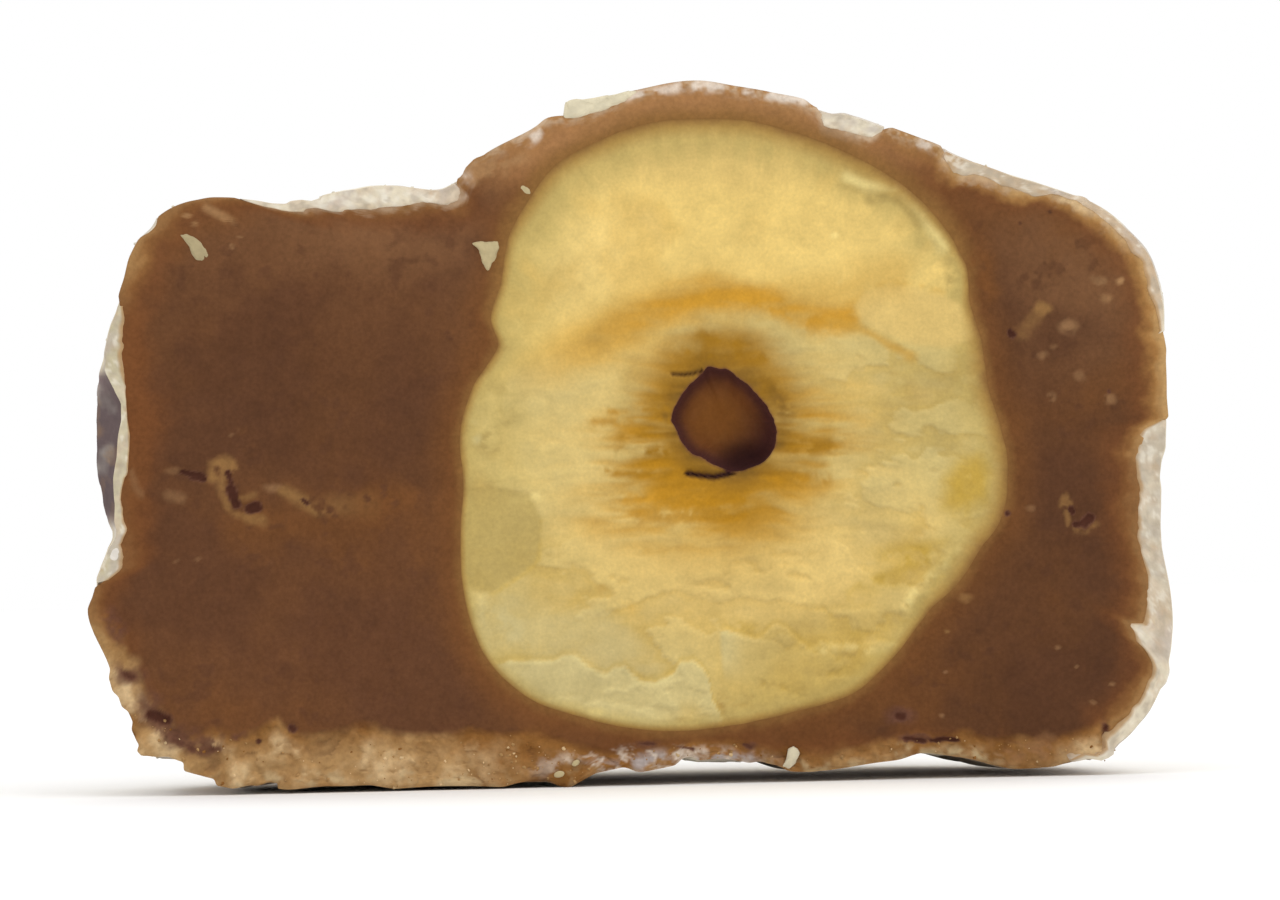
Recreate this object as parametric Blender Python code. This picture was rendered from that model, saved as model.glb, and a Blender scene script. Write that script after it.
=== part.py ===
# A gianduja truffle cut in half, standing on its base with the cut face turned to -Y.
# Three sub-parts: the soft brown core, the half kernel of hazelnut set in it, and the
# uneven sugar coat over its sides, top and back. Lengths are in millimetres until
# add_object turns them into metres.

import math

import bmesh
import bpy
import numpy as np

MILLIMETRE = 0.001
CLEARANCE = 0.27          # air between two neighbouring nodes

# The whole truffle
HALF_DEPTH = 11.0         # from the cut face to the back
FRONT_Y = -HALF_DEPTH / 2
COLUMNS = 96              # points round every ring
HEART = (2.5, 8.7)        # X and Z of the middle of the kernel, from which rings are drawn
BACK_POLE = (0.4, 6.4)    # X and Z of the middle of the back
BACK_ROUNDNESS = 2.6      # 2 would be an ellipse, more is boxier
SHOULDER_Z = 13.9         # height of the truffle away from the dome over the kernel
DOME_LENGTH = 8.5         # how far back the dome reaches
SINK = 1.0                # how far the underside is pressed flat
SINK_START = 0.25         # depth behind the cut at which the base begins to touch
SINK_FULL = 1.5           # depth at which it lies flat

# Rim of the cut face, as X and Z, anticlockwise from the lower right wall
RIM = [
    (13.12, 3.7), (12.86, 5.9), (13.06, 8.0), (13.12, 9.6), (12.99, 11.3), (12.6, 12.6),
    (11.7, 13.6), (10.1, 14.3), (7.8, 15.2), (5.4, 16.1), (3.4, 16.7), (1.8, 16.9),
    (0.2, 16.65), (-1.2, 16.45), (-2.0, 15.85), (-3.1, 15.3), (-4.2, 14.5), (-5.5, 14.6),
    (-7.9, 14.25), (-10.2, 14.3), (-11.2, 13.8), (-11.9, 12.7), (-12.45, 10.8),
    (-12.7, 8.8), (-12.62, 7.2), (-12.45, 6.2), (-12.8, 5.2), (-12.96, 4.4), (-12.5, 3.2),
    (-12.1, 1.9), (-11.6, 1.0), (-10.4, 0.5), (-8.6, 0.14), (-4.6, 0.1), (-1.4, 0.05),
    (0.2, 0.32), (2.1, 0.6), (3.9, 0.25), (6.8, 0.48), (9.7, 0.2), (11.3, 0.45),
    (12.4, 1.35), (12.95, 2.5),
]

# Rim of the kernel in the cut face
KERNEL_RIM = [
    (9.12, 7.2), (8.97, 9.0), (8.6, 11.0), (8.1, 12.5), (7.0, 14.1), (5.3, 15.3),
    (3.3, 15.95), (1.0, 16.0), (-0.6, 15.6), (-1.9, 14.8), (-2.8, 13.3), (-3.2, 11.0),
    (-3.65, 9.4), (-4.0, 7.0), (-3.95, 5.2), (-3.1, 3.1), (-1.6, 2.05), (0.3, 1.4),
    (2.5, 1.2), (4.2, 1.55), (6.0, 2.5), (7.7, 4.3), (8.75, 5.6),
]
KERNEL_DEPTH = 6.6        # from the cut to the back of the kernel
KERNEL_ROUNDNESS = 2.0
KERNEL_RECESS = 0.08      # the kernel's face lies a little behind the soft core's

# Open hollow in the middle of the kernel
HOLLOW_RIM = [
    (3.6, 8.4), (3.3, 9.3), (2.6, 9.9), (2.0, 9.95), (1.45, 9.4), (1.15, 8.7),
    (1.4, 8.2), (2.1, 7.8), (2.7, 7.5), (3.35, 7.7),
]
HOLLOW_DEPTH = 2.6
HOLLOW_STEPS = ((0.25, 2.5), (0.6, 2.1), (0.85, 1.2), (0.97, 0.45))   # share of rim, depth

# Ledge that the knife broke along the kernel's lower edge
LEDGE_DEPTH = 0.28
LEDGE_SHARE = 0.82        # where it starts, as a share of the way to the kernel's rim
LEDGE_FROM = 205          # degrees round the kernel
LEDGE_TO = 325

# Sugar coat: where it reaches the cut (first and last angle in degrees, thickness)
COAT_AT_CUT = [(-47, -1, 0.75), (13, 38, 0.32), (136, 155, 0.48), (166, 197, 0.42)]
COAT_THICKNESS = 0.34     # elsewhere, behind the cut
COAT_SETBACK = 0.45       # how far behind the cut it starts where the cut shows none
COAT_BLEND = 5            # degrees over which it fades in
COAT_FLOOR_GAP = 0.35     # its lower edge stays clear of the ground
COAT_BARE = [(46, 128, 3.4, 0.35), (213, 317, 8.4, 0.0)]   # bare dome and base: first and
# last angle, length, and how unevenly the coat's edge runs there

# Pits in the core's cut face: X, Z, half width, half height, depth
PITS = [
    (-10.45, 7.8, 0.16, 0.34, 0.35), (-9.45, 7.2, 0.13, 0.42, 0.4),
    (-8.95, 6.95, 0.22, 0.2, 0.45), (-7.8, 7.0, 0.15, 0.13, 0.3),
    (9.35, 10.75, 0.26, 0.28, 0.5), (10.85, 6.25, 0.34, 0.16, 0.4),
]
LUMP_HEIGHT = 0.22        # swell of the sides, top and back
LUMP_WAVES = 9
LUMP_LENGTHS = (4.4, 9.5)
CRUMB_RELIEF = 0.11       # crags of the crust along the base of the cut face
SEED = 31

# Depths behind the cut at which the outer surface has a ring, as shares of the depth
BACK_SHARES = [0.033, 0.05, 0.1, 0.17, 0.26, 0.36, 0.47, 0.58, 0.69, 0.79, 0.875, 0.94, 0.98]


def smooth_step(low, high, value):
    share = np.clip((value - low) / (high - low), 0.0, 1.0)
    return share * share * (3.0 - 2.0 * share)


def window(angle, first, last, blend):
    # 1 between two angles in degrees, fading to 0 over the blend outside them
    middle = (first + last) / 2
    half = (last - first) / 2
    away = np.abs((angle - middle + 180.0) % 360.0 - 180.0)
    return 1.0 - smooth_step(half, half + blend, away)


def closed_radius(points, centre, angles):
    # Distance from the centre to a closed outline at each angle, through its points
    # by cubic pieces in polar form
    offsets = np.array(points) - np.array(centre)
    turn = np.arctan2(offsets[:, 1], offsets[:, 0]) % math.tau
    order = np.argsort(turn)
    turn = turn[order]
    reach = np.hypot(offsets[:, 0], offsets[:, 1])[order]
    turn = np.concatenate((turn[-2:] - math.tau, turn, turn[:3] + math.tau))
    reach = np.concatenate((reach[-2:], reach, reach[:3]))
    slope = (reach[2:] - reach[:-2]) / (turn[2:] - turn[:-2])
    knots = turn[1:-1]
    values = reach[1:-1]
    wanted = angles % math.tau
    place = np.clip(np.searchsorted(knots, wanted, side="right") - 1, 0, len(knots) - 2)
    span = knots[place + 1] - knots[place]
    share = (wanted - knots[place]) / span
    back = 1.0 - share
    return (
        values[place] * back * back * (1.0 + 2.0 * share)
        + values[place + 1] * share * share * (3.0 - 2.0 * share)
        + slope[place] * span * share * back * back
        - slope[place + 1] * span * share * share * back
    )


def lumps(points):
    # Sum of seeded sine waves in all directions, about -1 to 1
    draw = np.random.RandomState(SEED)
    total = np.zeros(len(points))
    for _ in range(LUMP_WAVES):
        direction = draw.normal(size=3)
        direction /= np.linalg.norm(direction)
        length = draw.uniform(*LUMP_LENGTHS)
        phase = draw.uniform(0.0, math.tau)
        total += np.sin(points @ direction * math.tau / length + phase)
    return total / math.sqrt(LUMP_WAVES)


ANGLES = np.arange(COLUMNS) * math.tau / COLUMNS
DEGREES = np.degrees(ANGLES)
RIM_RADIUS = closed_radius(RIM, HEART, ANGLES)
KERNEL_RADIUS = closed_radius(KERNEL_RIM, HEART, ANGLES)
HOLLOW_RADIUS = closed_radius(HOLLOW_RIM, HEART, ANGLES)


def flat_ring(radius, depth):
    # Ring round the heart in a plane behind the cut
    depth = np.broadcast_to(depth, radius.shape)
    x = HEART[0] + radius * np.cos(ANGLES)
    z = HEART[1] + radius * np.sin(ANGLES)
    return np.column_stack((x, FRONT_Y + depth, z))


def body_ring(share, inset):
    # Ring of the outer surface: the rim with its dome sinking and its underside pressed
    # down, shrunk about a centre that moves to the back pole, then drawn in by the inset
    depth = HALF_DEPTH * share
    rim = flat_ring(RIM_RADIUS, 0.0)
    x = rim[:, 0]
    z = rim[:, 2]
    dome = max(0.0, 1.0 - (depth / DOME_LENGTH) ** 2.6)
    z = np.where(z > SHOULDER_Z, SHOULDER_Z + (z - SHOULDER_Z) * dome, z)
    pressed = SINK * smooth_step(SINK_START, SINK_FULL, depth)
    z = z - pressed * (1.0 - smooth_step(0.6, 2.6, z))
    shrink = (1.0 - share ** BACK_ROUNDNESS) ** (1.0 / BACK_ROUNDNESS)
    centre_x = HEART[0] + (BACK_POLE[0] - HEART[0]) * share ** 2
    centre_z = HEART[1] + (BACK_POLE[1] - HEART[1]) * share ** 2
    ring = np.column_stack((
        centre_x + (x - HEART[0]) * shrink,
        np.full(COLUMNS, FRONT_Y + depth),
        centre_z + (z - HEART[1]) * shrink,
    ))
    return draw_in(ring, inset)


def draw_in(ring, inset):
    # Moves a ring towards the heart by the inset, and out by the lumps behind the cut
    heart = np.array((HEART[0], FRONT_Y, HEART[1]))
    ray = ring - heart
    reach = np.linalg.norm(ray, axis=1)
    behind = smooth_step(0.0, 2.5, ring[:, 1] - FRONT_Y)
    swell = LUMP_HEIGHT * behind * lumps(ring)
    return heart + ray * ((reach + swell - inset) / reach)[:, None]


def settle(rings, height):
    # The underside lies flat at a height
    for ring in rings:
        ring[:, 2] = np.maximum(ring[:, 2], height)
    return rings


def coat_cover(depth):
    # 1 where the coat is there, 0 where the core is bare, at a depth behind the cut
    at_cut = np.zeros(COLUMNS)
    for first, last, _ in COAT_AT_CUT:
        at_cut = np.maximum(at_cut, window(DEGREES, first, last, COAT_BLEND))
    start = np.full(COLUMNS, COAT_SETBACK)
    wave = np.sin(ANGLES * 11.0) * np.sin(ANGLES * 4.0 + 0.6)
    for first, last, length, wander in COAT_BARE:
        bare = length * (1.0 + wander * wave)
        start += bare * window(DEGREES, first, last, COAT_BLEND * 2)
    behind = smooth_step(start - 0.1, start + 0.1, depth)
    return np.maximum(at_cut, behind)


def coat_thickness(depth):
    # Thick where the cut shows it thick, evening out behind
    thickness = np.full(COLUMNS, COAT_THICKNESS)
    near = 1.0 - smooth_step(0.5, 4.5, depth)
    for first, last, shown in COAT_AT_CUT:
        here = window(DEGREES, first, last, COAT_BLEND) * near
        thickness += (shown - COAT_THICKNESS) * here
    return thickness


def core_inset(depth):
    return coat_cover(depth) * (coat_thickness(depth) + CLEARANCE)


def cutter_inset(depth):
    cover = coat_cover(depth)
    return cover * coat_thickness(depth) - (1.0 - cover) * CLEARANCE * 1.3


def back_rings(inset_rule):
    rings = [body_ring(0.0, inset_rule(0.0))]
    for share in BACK_SHARES:
        rings.append(body_ring(share, inset_rule(HALF_DEPTH * share)))
    pole = rings[-1].mean(axis=0)
    pole[1] = rings[-1][:, 1].max() + 0.12
    return rings, pole


def grow_ring(bm, ring, points):
    # Extrudes a closed ring of vertices and moves the new ring to its points
    edges = [bm.edges.get((a, b)) for a, b in zip(ring, ring[1:] + ring[:1])]
    made = bmesh.ops.extrude_edge_only(bm, edges=edges)["geom"]
    fresh = {item for item in made if isinstance(item, bmesh.types.BMVert)}
    grown = []
    for old, point in zip(ring, points):
        near = [edge.other_vert(old) for edge in old.link_edges]
        new = next(vertex for vertex in near if vertex in fresh)
        new.co = point
        grown.append(new)
    return grown


def skin(first_pole, rings, last_pole):
    # Closed body through a chain of rings, from a fan at one pole to a fan at the other
    bm = bmesh.new()
    bmesh.ops.create_circle(bm, segments=COLUMNS, radius=1.0, cap_ends=True, cap_tris=True)
    bm.verts.ensure_lookup_table()
    hub = max(bm.verts, key=lambda vertex: len(vertex.link_edges))
    around = [vertex for vertex in bm.verts if vertex is not hub]
    around.sort(key=lambda vertex: math.atan2(vertex.co.y, vertex.co.x) % math.tau)
    hub.co = first_pole
    for vertex, point in zip(around, rings[0]):
        vertex.co = point
    ring = around
    for points in rings[1:]:
        ring = grow_ring(bm, ring, points)
    last = grow_ring(bm, ring, rings[-1])
    bmesh.ops.pointmerge(bm, verts=last, merge_co=last_pole)
    bmesh.ops.recalc_face_normals(bm, faces=bm.faces)
    return bm


def plain_material(name, colour, roughness):
    material = bpy.data.materials.new(name)
    material.use_nodes = True
    shader = material.node_tree.nodes["Principled BSDF"]
    shader.inputs["Base Color"].default_value = (*colour, 1.0)
    shader.inputs["Roughness"].default_value = roughness
    shader.inputs["Metallic"].default_value = 0.0
    return material


def add_object(name, bm, material=None):
    # Turns millimetres into metres, and links the mesh as an object
    bmesh.ops.scale(bm, vec=(MILLIMETRE,) * 3, verts=bm.verts)
    mesh = bpy.data.meshes.new(name)
    bm.to_mesh(mesh)
    bm.free()
    mesh.shade_smooth()
    mesh.set_sharp_from_angle(angle=math.radians(40))
    thing = bpy.data.objects.new(name, mesh)
    bpy.context.scene.collection.objects.link(thing)
    if material:
        mesh.materials.append(material)
    return thing


def add_cutter(name, bm, target):
    cutter = add_object(name, bm)
    cutter.hide_render = True
    cutter.display_type = "WIRE"
    cut = target.modifiers.new(name, "BOOLEAN")
    cut.operation = "DIFFERENCE"
    cut.solver = "EXACT"
    cut.object = cutter
    return cutter


def kernel_rings(grow, roundness_depth):
    # Rings from the kernel's rim to its back, grown outwards for the pocket round it
    rings = []
    for turn in np.linspace(0.0, 1.0, 10)[1:-1]:
        depth = roundness_depth * math.sin(turn * math.pi / 2)
        shrink = (1.0 - (depth / roundness_depth) ** KERNEL_ROUNDNESS) ** (1 / KERNEL_ROUNDNESS)
        rings.append(flat_ring((KERNEL_RADIUS + grow) * shrink, depth))
    return rings


def build_core():
    pocket_depth = KERNEL_DEPTH + CLEARANCE
    pocket_pole = (HEART[0], FRONT_Y + pocket_depth, HEART[1])
    pocket_radius = KERNEL_RADIUS + CLEARANCE
    pocket = kernel_rings(CLEARANCE, pocket_depth)
    pocket.reverse()
    outer, pole = back_rings(core_inset)
    rim_radius = np.hypot(outer[0][:, 0] - HEART[0], outer[0][:, 2] - HEART[1])
    settle(outer, 0.0)
    face = [flat_ring(pocket_radius, 0.0)]
    for share in (0.45, 0.86):
        radius = pocket_radius + (rim_radius - pocket_radius) * share
        ring = flat_ring(radius, 0.0)
        low = 1.0 - smooth_step(0.8, 1.7, ring[:, 2])
        ring[:, 1] += CRUMB_RELIEF * low * np.abs(1.0 + lumps(ring * 3.0))
        face.append(ring)
    core = add_object(
        "gianduja",
        skin(pocket_pole, pocket + face + outer, pole),
        plain_material("gianduja", (0.135, 0.056, 0.023), 0.5),
    )
    for number, (x, z, half_width, half_height, depth) in enumerate(PITS):
        pit = bmesh.new()
        bmesh.ops.create_icosphere(pit, subdivisions=1, radius=1.0)
        bmesh.ops.scale(pit, vec=(half_width, depth, half_height), verts=pit.verts)
        bmesh.ops.translate(pit, vec=(x, FRONT_Y, z), verts=pit.verts)
        add_cutter(f"pit_{number}", pit, core)
    return core


def kernel_face_depth(share):
    # The face lies just behind the cut, waves a little, and drops at the broken ledge
    ring = flat_ring(HOLLOW_RADIUS + (KERNEL_RADIUS - HOLLOW_RADIUS) * share, 0.0)
    ledge = window(DEGREES, LEDGE_FROM, LEDGE_TO, 10)
    edge = LEDGE_SHARE + 0.04 * np.sin(ANGLES * 9.0) + 0.02 * np.sin(ANGLES * 17.0)
    drop = LEDGE_DEPTH * ledge * smooth_step(edge - 0.03, edge + 0.03, share)
    return KERNEL_RECESS + drop + 0.04 * lumps(ring * 1.7)


def build_kernel():
    hollow_pole = (HEART[0] - 0.1, FRONT_Y + HOLLOW_DEPTH, HEART[1] + 0.1)
    rings = []
    for share, depth in HOLLOW_STEPS:
        rings.append(flat_ring(HOLLOW_RADIUS * share, depth))
    for share in (0.0, 0.3, 0.6, 0.77, 0.85, 0.95):
        radius = HOLLOW_RADIUS + (KERNEL_RADIUS - HOLLOW_RADIUS) * share
        rings.append(flat_ring(radius, kernel_face_depth(share)))
    rings.append(flat_ring(KERNEL_RADIUS * 0.995, kernel_face_depth(1.0) + 0.08))
    rings += kernel_rings(0.0, KERNEL_DEPTH)
    back_pole = (HEART[0], FRONT_Y + KERNEL_DEPTH, HEART[1])
    return add_object(
        "hazelnut",
        skin(hollow_pole, rings, back_pole),
        plain_material("hazelnut", (0.6, 0.42, 0.14), 0.48),
    )


def build_coat():
    outer, pole = back_rings(lambda depth: 0.0)
    front_pole = np.array((HEART[0], FRONT_Y, HEART[1]))
    coat = add_object(
        "sugar_coat",
        skin(front_pole, settle(outer, COAT_FLOOR_GAP), pole),
        plain_material("sugar_coat", (0.56, 0.5, 0.42), 0.85),
    )
    inner, inner_pole = back_rings(cutter_inset)
    step = np.array((0.0, 1.0, 0.0))
    inside = skin(front_pole - step, [inner[0] - step] + inner, inner_pole)
    add_cutter("coat_inside", inside, coat)
    return coat


def main():
    for thing in list(bpy.data.objects):
        bpy.data.objects.remove(thing, do_unlink=True)
    build_core()
    build_kernel()
    build_coat()


main()
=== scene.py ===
import math

import bpy
import numpy as np
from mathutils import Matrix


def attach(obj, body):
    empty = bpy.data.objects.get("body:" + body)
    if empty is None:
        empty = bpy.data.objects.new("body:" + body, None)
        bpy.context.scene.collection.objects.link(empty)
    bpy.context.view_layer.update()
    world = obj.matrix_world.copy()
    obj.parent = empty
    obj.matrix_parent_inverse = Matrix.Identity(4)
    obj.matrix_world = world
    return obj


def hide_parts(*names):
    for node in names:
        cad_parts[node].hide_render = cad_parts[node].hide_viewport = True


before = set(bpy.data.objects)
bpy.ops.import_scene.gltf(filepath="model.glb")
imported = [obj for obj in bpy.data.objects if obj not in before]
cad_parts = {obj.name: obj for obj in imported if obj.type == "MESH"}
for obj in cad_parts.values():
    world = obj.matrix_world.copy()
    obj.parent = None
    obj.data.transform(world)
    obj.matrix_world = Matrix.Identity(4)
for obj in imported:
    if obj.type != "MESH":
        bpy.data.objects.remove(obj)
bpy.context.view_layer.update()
print("frame loaded:", sorted(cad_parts))

# Everything below is worked out in millimetres, and turned into metres when a mesh is made.
# X runs to the right of the cut, Z up, and Y into the truffle from the cut plane.
mm = 0.001
farAway = 9.0                    # stands for the distance to what isn't near

truffle = {
    "frontY": -5.5,              # the cut plane
    "halfDepth": 11.0,           # cut plane to back
    "heart": (2.5, 8.7),         # X and Z of the middle of the kernel
    "backPole": (0.4, 6.4),      # X and Z of the middle of the back
    "backRoundness": 2.6,
    "shoulderZ": 13.9,           # height away from the dome
    "domeLength": 8.5,
    "sink": 0.12,                # how far the underside is pressed down
    "sinkStart": 0.25,
    "sinkFull": 1.5,
    "baseEnds": (3.4, 5.6),      # heights between which the crumbly base ends
    # depths over which the outline of the cut eases into the plain rim, and along the base
    "outlineFades": ((0.3, 2.6), (3.0, 8.0)),
    "lumpHeight": 0.22,
    "lumpWaves": 9,
    "lumpLengths": (4.4, 9.5),
    "seed": 31,
    # plain outline of the whole, as X and Z
    "rim": [
        (13.12, 3.7), (12.86, 5.9), (13.06, 8.0), (13.12, 9.6), (12.99, 11.3), (12.6, 12.6),
        (11.7, 13.6), (10.1, 14.3), (7.8, 15.2), (5.4, 16.1), (3.4, 16.7), (1.8, 16.9),
        (0.2, 16.65), (-1.2, 16.45), (-2.0, 15.85), (-3.1, 15.3), (-4.2, 14.5), (-5.5, 14.6),
        (-7.9, 14.25), (-10.2, 14.3), (-11.2, 13.8), (-11.9, 12.7), (-12.45, 10.8),
        (-12.7, 8.8), (-12.62, 7.2), (-12.45, 6.2), (-12.8, 5.2), (-12.96, 4.4), (-12.5, 3.2),
        (-12.1, 1.9), (-11.6, 1.0), (-10.4, 0.5), (-8.6, 0.14), (-4.6, 0.1), (-1.4, 0.05),
        (0.2, 0.32), (2.1, 0.6), (3.9, 0.25), (6.8, 0.48), (9.7, 0.2), (11.3, 0.45),
        (12.4, 1.35), (12.95, 2.5),
    ],
    # small steps and crumbs of that outline at the cut: X, Z, half width, push outwards
    "nicks": [
        (13.1, 9.5, 1.0, -0.06), (12.8, 11.9, 1.3, 0.09), (11.2, 13.95, 0.2, 0.05),
        (9.0, 14.85, 1.4, -0.1), (6.8, 15.65, 1.3, -0.01), (5.0, 16.25, 0.5, -0.1),
        (3.3, 16.75, 1.2, -0.05), (-0.85, 16.5, 0.95, -0.32), (-3.5, 15.0, 0.35, 0.08),
        (-5.0, 14.6, 0.9, -0.08), (-6.8, 14.45, 0.5, 0.04), (-7.4, 14.3, 0.25, -0.1),
        (-8.3, 14.2, 0.4, -0.12), (-9.4, 14.25, 0.7, 0.08), (-11.2, 13.6, 0.35, -0.14),
        (-12.1, 12.1, 0.9, -0.08), (-12.5, 10.0, 0.5, 0.05), (-12.55, 6.3, 0.3, -0.07),
        (-12.75, 4.9, 0.4, -0.07), (-12.4, 2.75, 0.35, 0.1), (-12.1, 1.9, 0.3, -0.1),
        (-11.7, 1.12, 0.18, 0.12), (-11.15, 0.8, 0.45, -0.26), (-9.6, 0.32, 0.45, 0.2),
        (-8.75, 0.2, 0.25, -0.18), (-7.0, 0.08, 1.3, -0.2), (-2.4, 0.02, 0.7, -0.15),
        (-1.5, 0.05, 0.18, 0.04), (-0.6, 0.15, 0.8, -0.22), (1.35, 0.45, 0.3, -0.14),
        (3.3, 0.35, 0.5, -0.1), (7.7, 0.3, 1.3, -0.2), (11.35, 0.5, 0.35, 0.18),
        (12.85, 2.35, 0.35, 0.08), (12.9, 6.1, 0.7, 0.03), (13.03, 7.3, 0.5, -0.07),
    ],
}


def smoothStep(low, high, value):
    # 0 below low, 1 above high, and 3t^2 - 2t^3 between them
    share = np.clip((value - low) / (high - low), 0.0, 1.0)
    return share * share * (3.0 - 2.0 * share)


def fadeOut(low, high, value):
    # 1 below low, 0 above high, smooth between them
    return 1.0 - smoothStep(low, high, value)


def between(start, full, ease, end, value):
    # 0 up to the start, 1 from full to ease, 0 after the end, smooth between them
    return smoothStep(start, full, value) * fadeOut(ease, end, value)


def upTo(most, value):
    # the value, held between 0 and the most
    return np.clip(value, 0.0, most)


def tableValue(table, value, period=None):
    # straight lines between the pairs of a table
    pairs = np.array(table)
    return np.interp(value, pairs[:, 0], pairs[:, 1], period=period)


def byAngle(table, angles):
    # the same for pairs of degrees and a value, all the way round
    return tableValue(table, (np.degrees(angles) + 180.0) % 360.0 - 180.0, 360.0)


def inDegrees(angles):
    # angles in radians as degrees from 0 to 360
    return np.degrees(angles) % 360.0


def cornerValue(ix, iy, iz, seed):
    # a number from -1 to 1 for every lattice corner, from a hash of its three whole numbers
    mix = ((ix * 73856093) ^ (iy * 19349663) ^ (iz * 83492791) ^ (seed * 40503)) & 0xffffffff
    mix = ((mix ^ (mix >> 13)) * 1274126177) & 0xffffffff
    mix = ((mix ^ (mix >> 15)) * 2246822519) & 0xffffffff
    return ((mix >> 9) & 0xffff) / 32767.5 - 1.0


def softNoise(points, size, seed):
    # the eight corner values round each point, blended by smooth shares along X, Y and Z
    place = points / size
    cell = np.floor(place).astype(np.int64)
    part = place - cell
    part = part * part * (3.0 - 2.0 * part)
    total = np.zeros(points.shape[:-1])
    for corner in range(8):
        step = (corner & 1, (corner >> 1) & 1, corner >> 2)
        weight = 1.0
        for axis in range(3):
            share = part[..., axis]
            weight = weight * (share if step[axis] else 1.0 - share)
        at = cell + np.array(step)
        total += weight * cornerValue(at[..., 0], at[..., 1], at[..., 2], seed)
    return total


# a turn by 38 degrees about the diagonal of the three axes
turned = np.array((
    (0.8587, -0.2848, 0.4261), (0.4261, 0.8587, -0.2848), (-0.2848, 0.4261, 0.8587),
))


def layeredNoise(points, size, layers, seed, gain=0.55):
    # soft noise, added again at half the size and a smaller share for each further layer, each
    # on a lattice turned against the last one
    total = 0.0
    points = points @ turned
    weight = 1.0
    whole = 0.0
    for layer in range(layers):
        total = total + weight * softNoise(points, size / 2 ** layer, seed + layer * 17)
        points = points @ turned
        whole += weight
        weight *= gain
    return total / whole


def cellNoise(points, size, seed):
    # distance to the nearest of one jittered point per lattice cell, and a random value that
    # belongs to that point
    place = points / size
    cell = np.floor(place).astype(np.int64)
    nearest = np.full(points.shape[:-1], farAway)
    owner = np.zeros(points.shape[:-1])
    for corner in range(27):
        at = cell + np.array((corner % 3 - 1, corner // 3 % 3 - 1, corner // 9 - 1))
        ix, iy, iz = at[..., 0], at[..., 1], at[..., 2]
        away = 0.0
        for axis in range(3):
            jitter = 0.5 + 0.42 * cornerValue(ix, iy, iz, seed + axis + 1)
            away = away + (at[..., axis] + jitter - place[..., axis]) ** 2
        away = np.sqrt(away)
        closer = away < nearest
        owner = np.where(closer, cornerValue(ix, iy, iz, seed + 7), owner)
        nearest = np.where(closer, away, nearest)
    return nearest, owner


def closedRadius(points, centre, angles):
    # distance from the centre to a closed outline at each angle: cubic pieces in polar form
    offsets = np.array(points) - np.array(centre)
    turn = np.arctan2(offsets[:, 1], offsets[:, 0]) % math.tau
    order = np.argsort(turn)
    turn = turn[order]
    reach = np.hypot(offsets[:, 0], offsets[:, 1])[order]
    turn = np.concatenate((turn[-2:] - math.tau, turn, turn[:3] + math.tau))
    reach = np.concatenate((reach[-2:], reach, reach[:3]))
    slope = (reach[2:] - reach[:-2]) / (turn[2:] - turn[:-2])
    knots = turn[1:-1]
    values = reach[1:-1]
    wanted = angles % math.tau
    place = np.clip(np.searchsorted(knots, wanted, side="right") - 1, 0, len(knots) - 2)
    span = knots[place + 1] - knots[place]
    share = (wanted - knots[place]) / span
    back = 1.0 - share
    return (
        values[place] * back * back * (1.0 + 2.0 * share)
        + values[place + 1] * share * share * (3.0 - 2.0 * share)
        + slope[place] * span * share * back * back
        - slope[place + 1] * span * share * share * back
    )


def evenAngles(points, first, last, count, density):
    # angles between two others in degrees, that cut the outline into lengths in proportion
    # to one over the density
    fine = np.radians(np.linspace(first, last, 8001))
    radius = closedRadius(points, truffle["heart"], fine)
    steps = np.hypot(np.diff(radius * np.cos(fine)), np.diff(radius * np.sin(fine)))
    steps = steps * density(np.degrees((fine[1:] + fine[:-1]) / 2))
    walked = np.concatenate(((0.0,), np.cumsum(steps)))
    return np.interp(np.linspace(0.0, walked[-1], count), walked, fine)


def allRound(points, count, density=np.ones_like):
    # the same all the way round
    return evenAngles(points, 0.0, 360.0, count + 1, density)[:-1]


def aroundAngle(degrees, middle, reach):
    # 1 within half the reach of an angle, falling smoothly to 0 at the reach
    away = np.abs((degrees - middle + 180.0) % 360.0 - 180.0)
    return fadeOut(0.5 * reach, reach, away)


def backDepths(first, last, count):
    # depths of the rings over the outside: even turns along the back's curve, the last in degrees
    roundness = truffle["backRoundness"]
    begin = (first / truffle["halfDepth"]) ** (roundness / 2)
    swing = np.linspace(math.asin(begin), math.radians(last), count)[:, None]
    return truffle["halfDepth"] * np.sin(swing) ** (2 / roundness)


def lineDistance(x, z, points):
    # shortest distance from every place to a line through a few points
    nearest = np.full(np.shape(x), farAway * 10.0)
    for (x0, z0), (x1, z1) in zip(points, points[1:]):
        length = (x1 - x0) ** 2 + (z1 - z0) ** 2
        along = np.clip(((x - x0) * (x1 - x0) + (z - z0) * (z1 - z0)) / length, 0.0, 1.0)
        away = np.hypot(x - x0 - along * (x1 - x0), z - z0 - along * (z1 - z0))
        nearest = np.minimum(nearest, away)
    return nearest


def spot(x, z, middle, size, soft, turn=0.0):
    # 1 inside an ellipse, fading to 0 across its edge
    c, s = math.cos(math.radians(turn)), math.sin(math.radians(turn))
    dx, dz = x - middle[0], z - middle[1]
    away = np.hypot((dx * c + dz * s) / size[0], (dz * c - dx * s) / size[1])
    return fadeOut(1.0 - soft, 1.0 + soft, away)


def stroke(x, z, points, width, soft):
    # 1 along a line through a few points, fading out at its half width
    return fadeOut(1.0 - soft, 1.0 + soft, lineDistance(x, z, points) / width)


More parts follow.
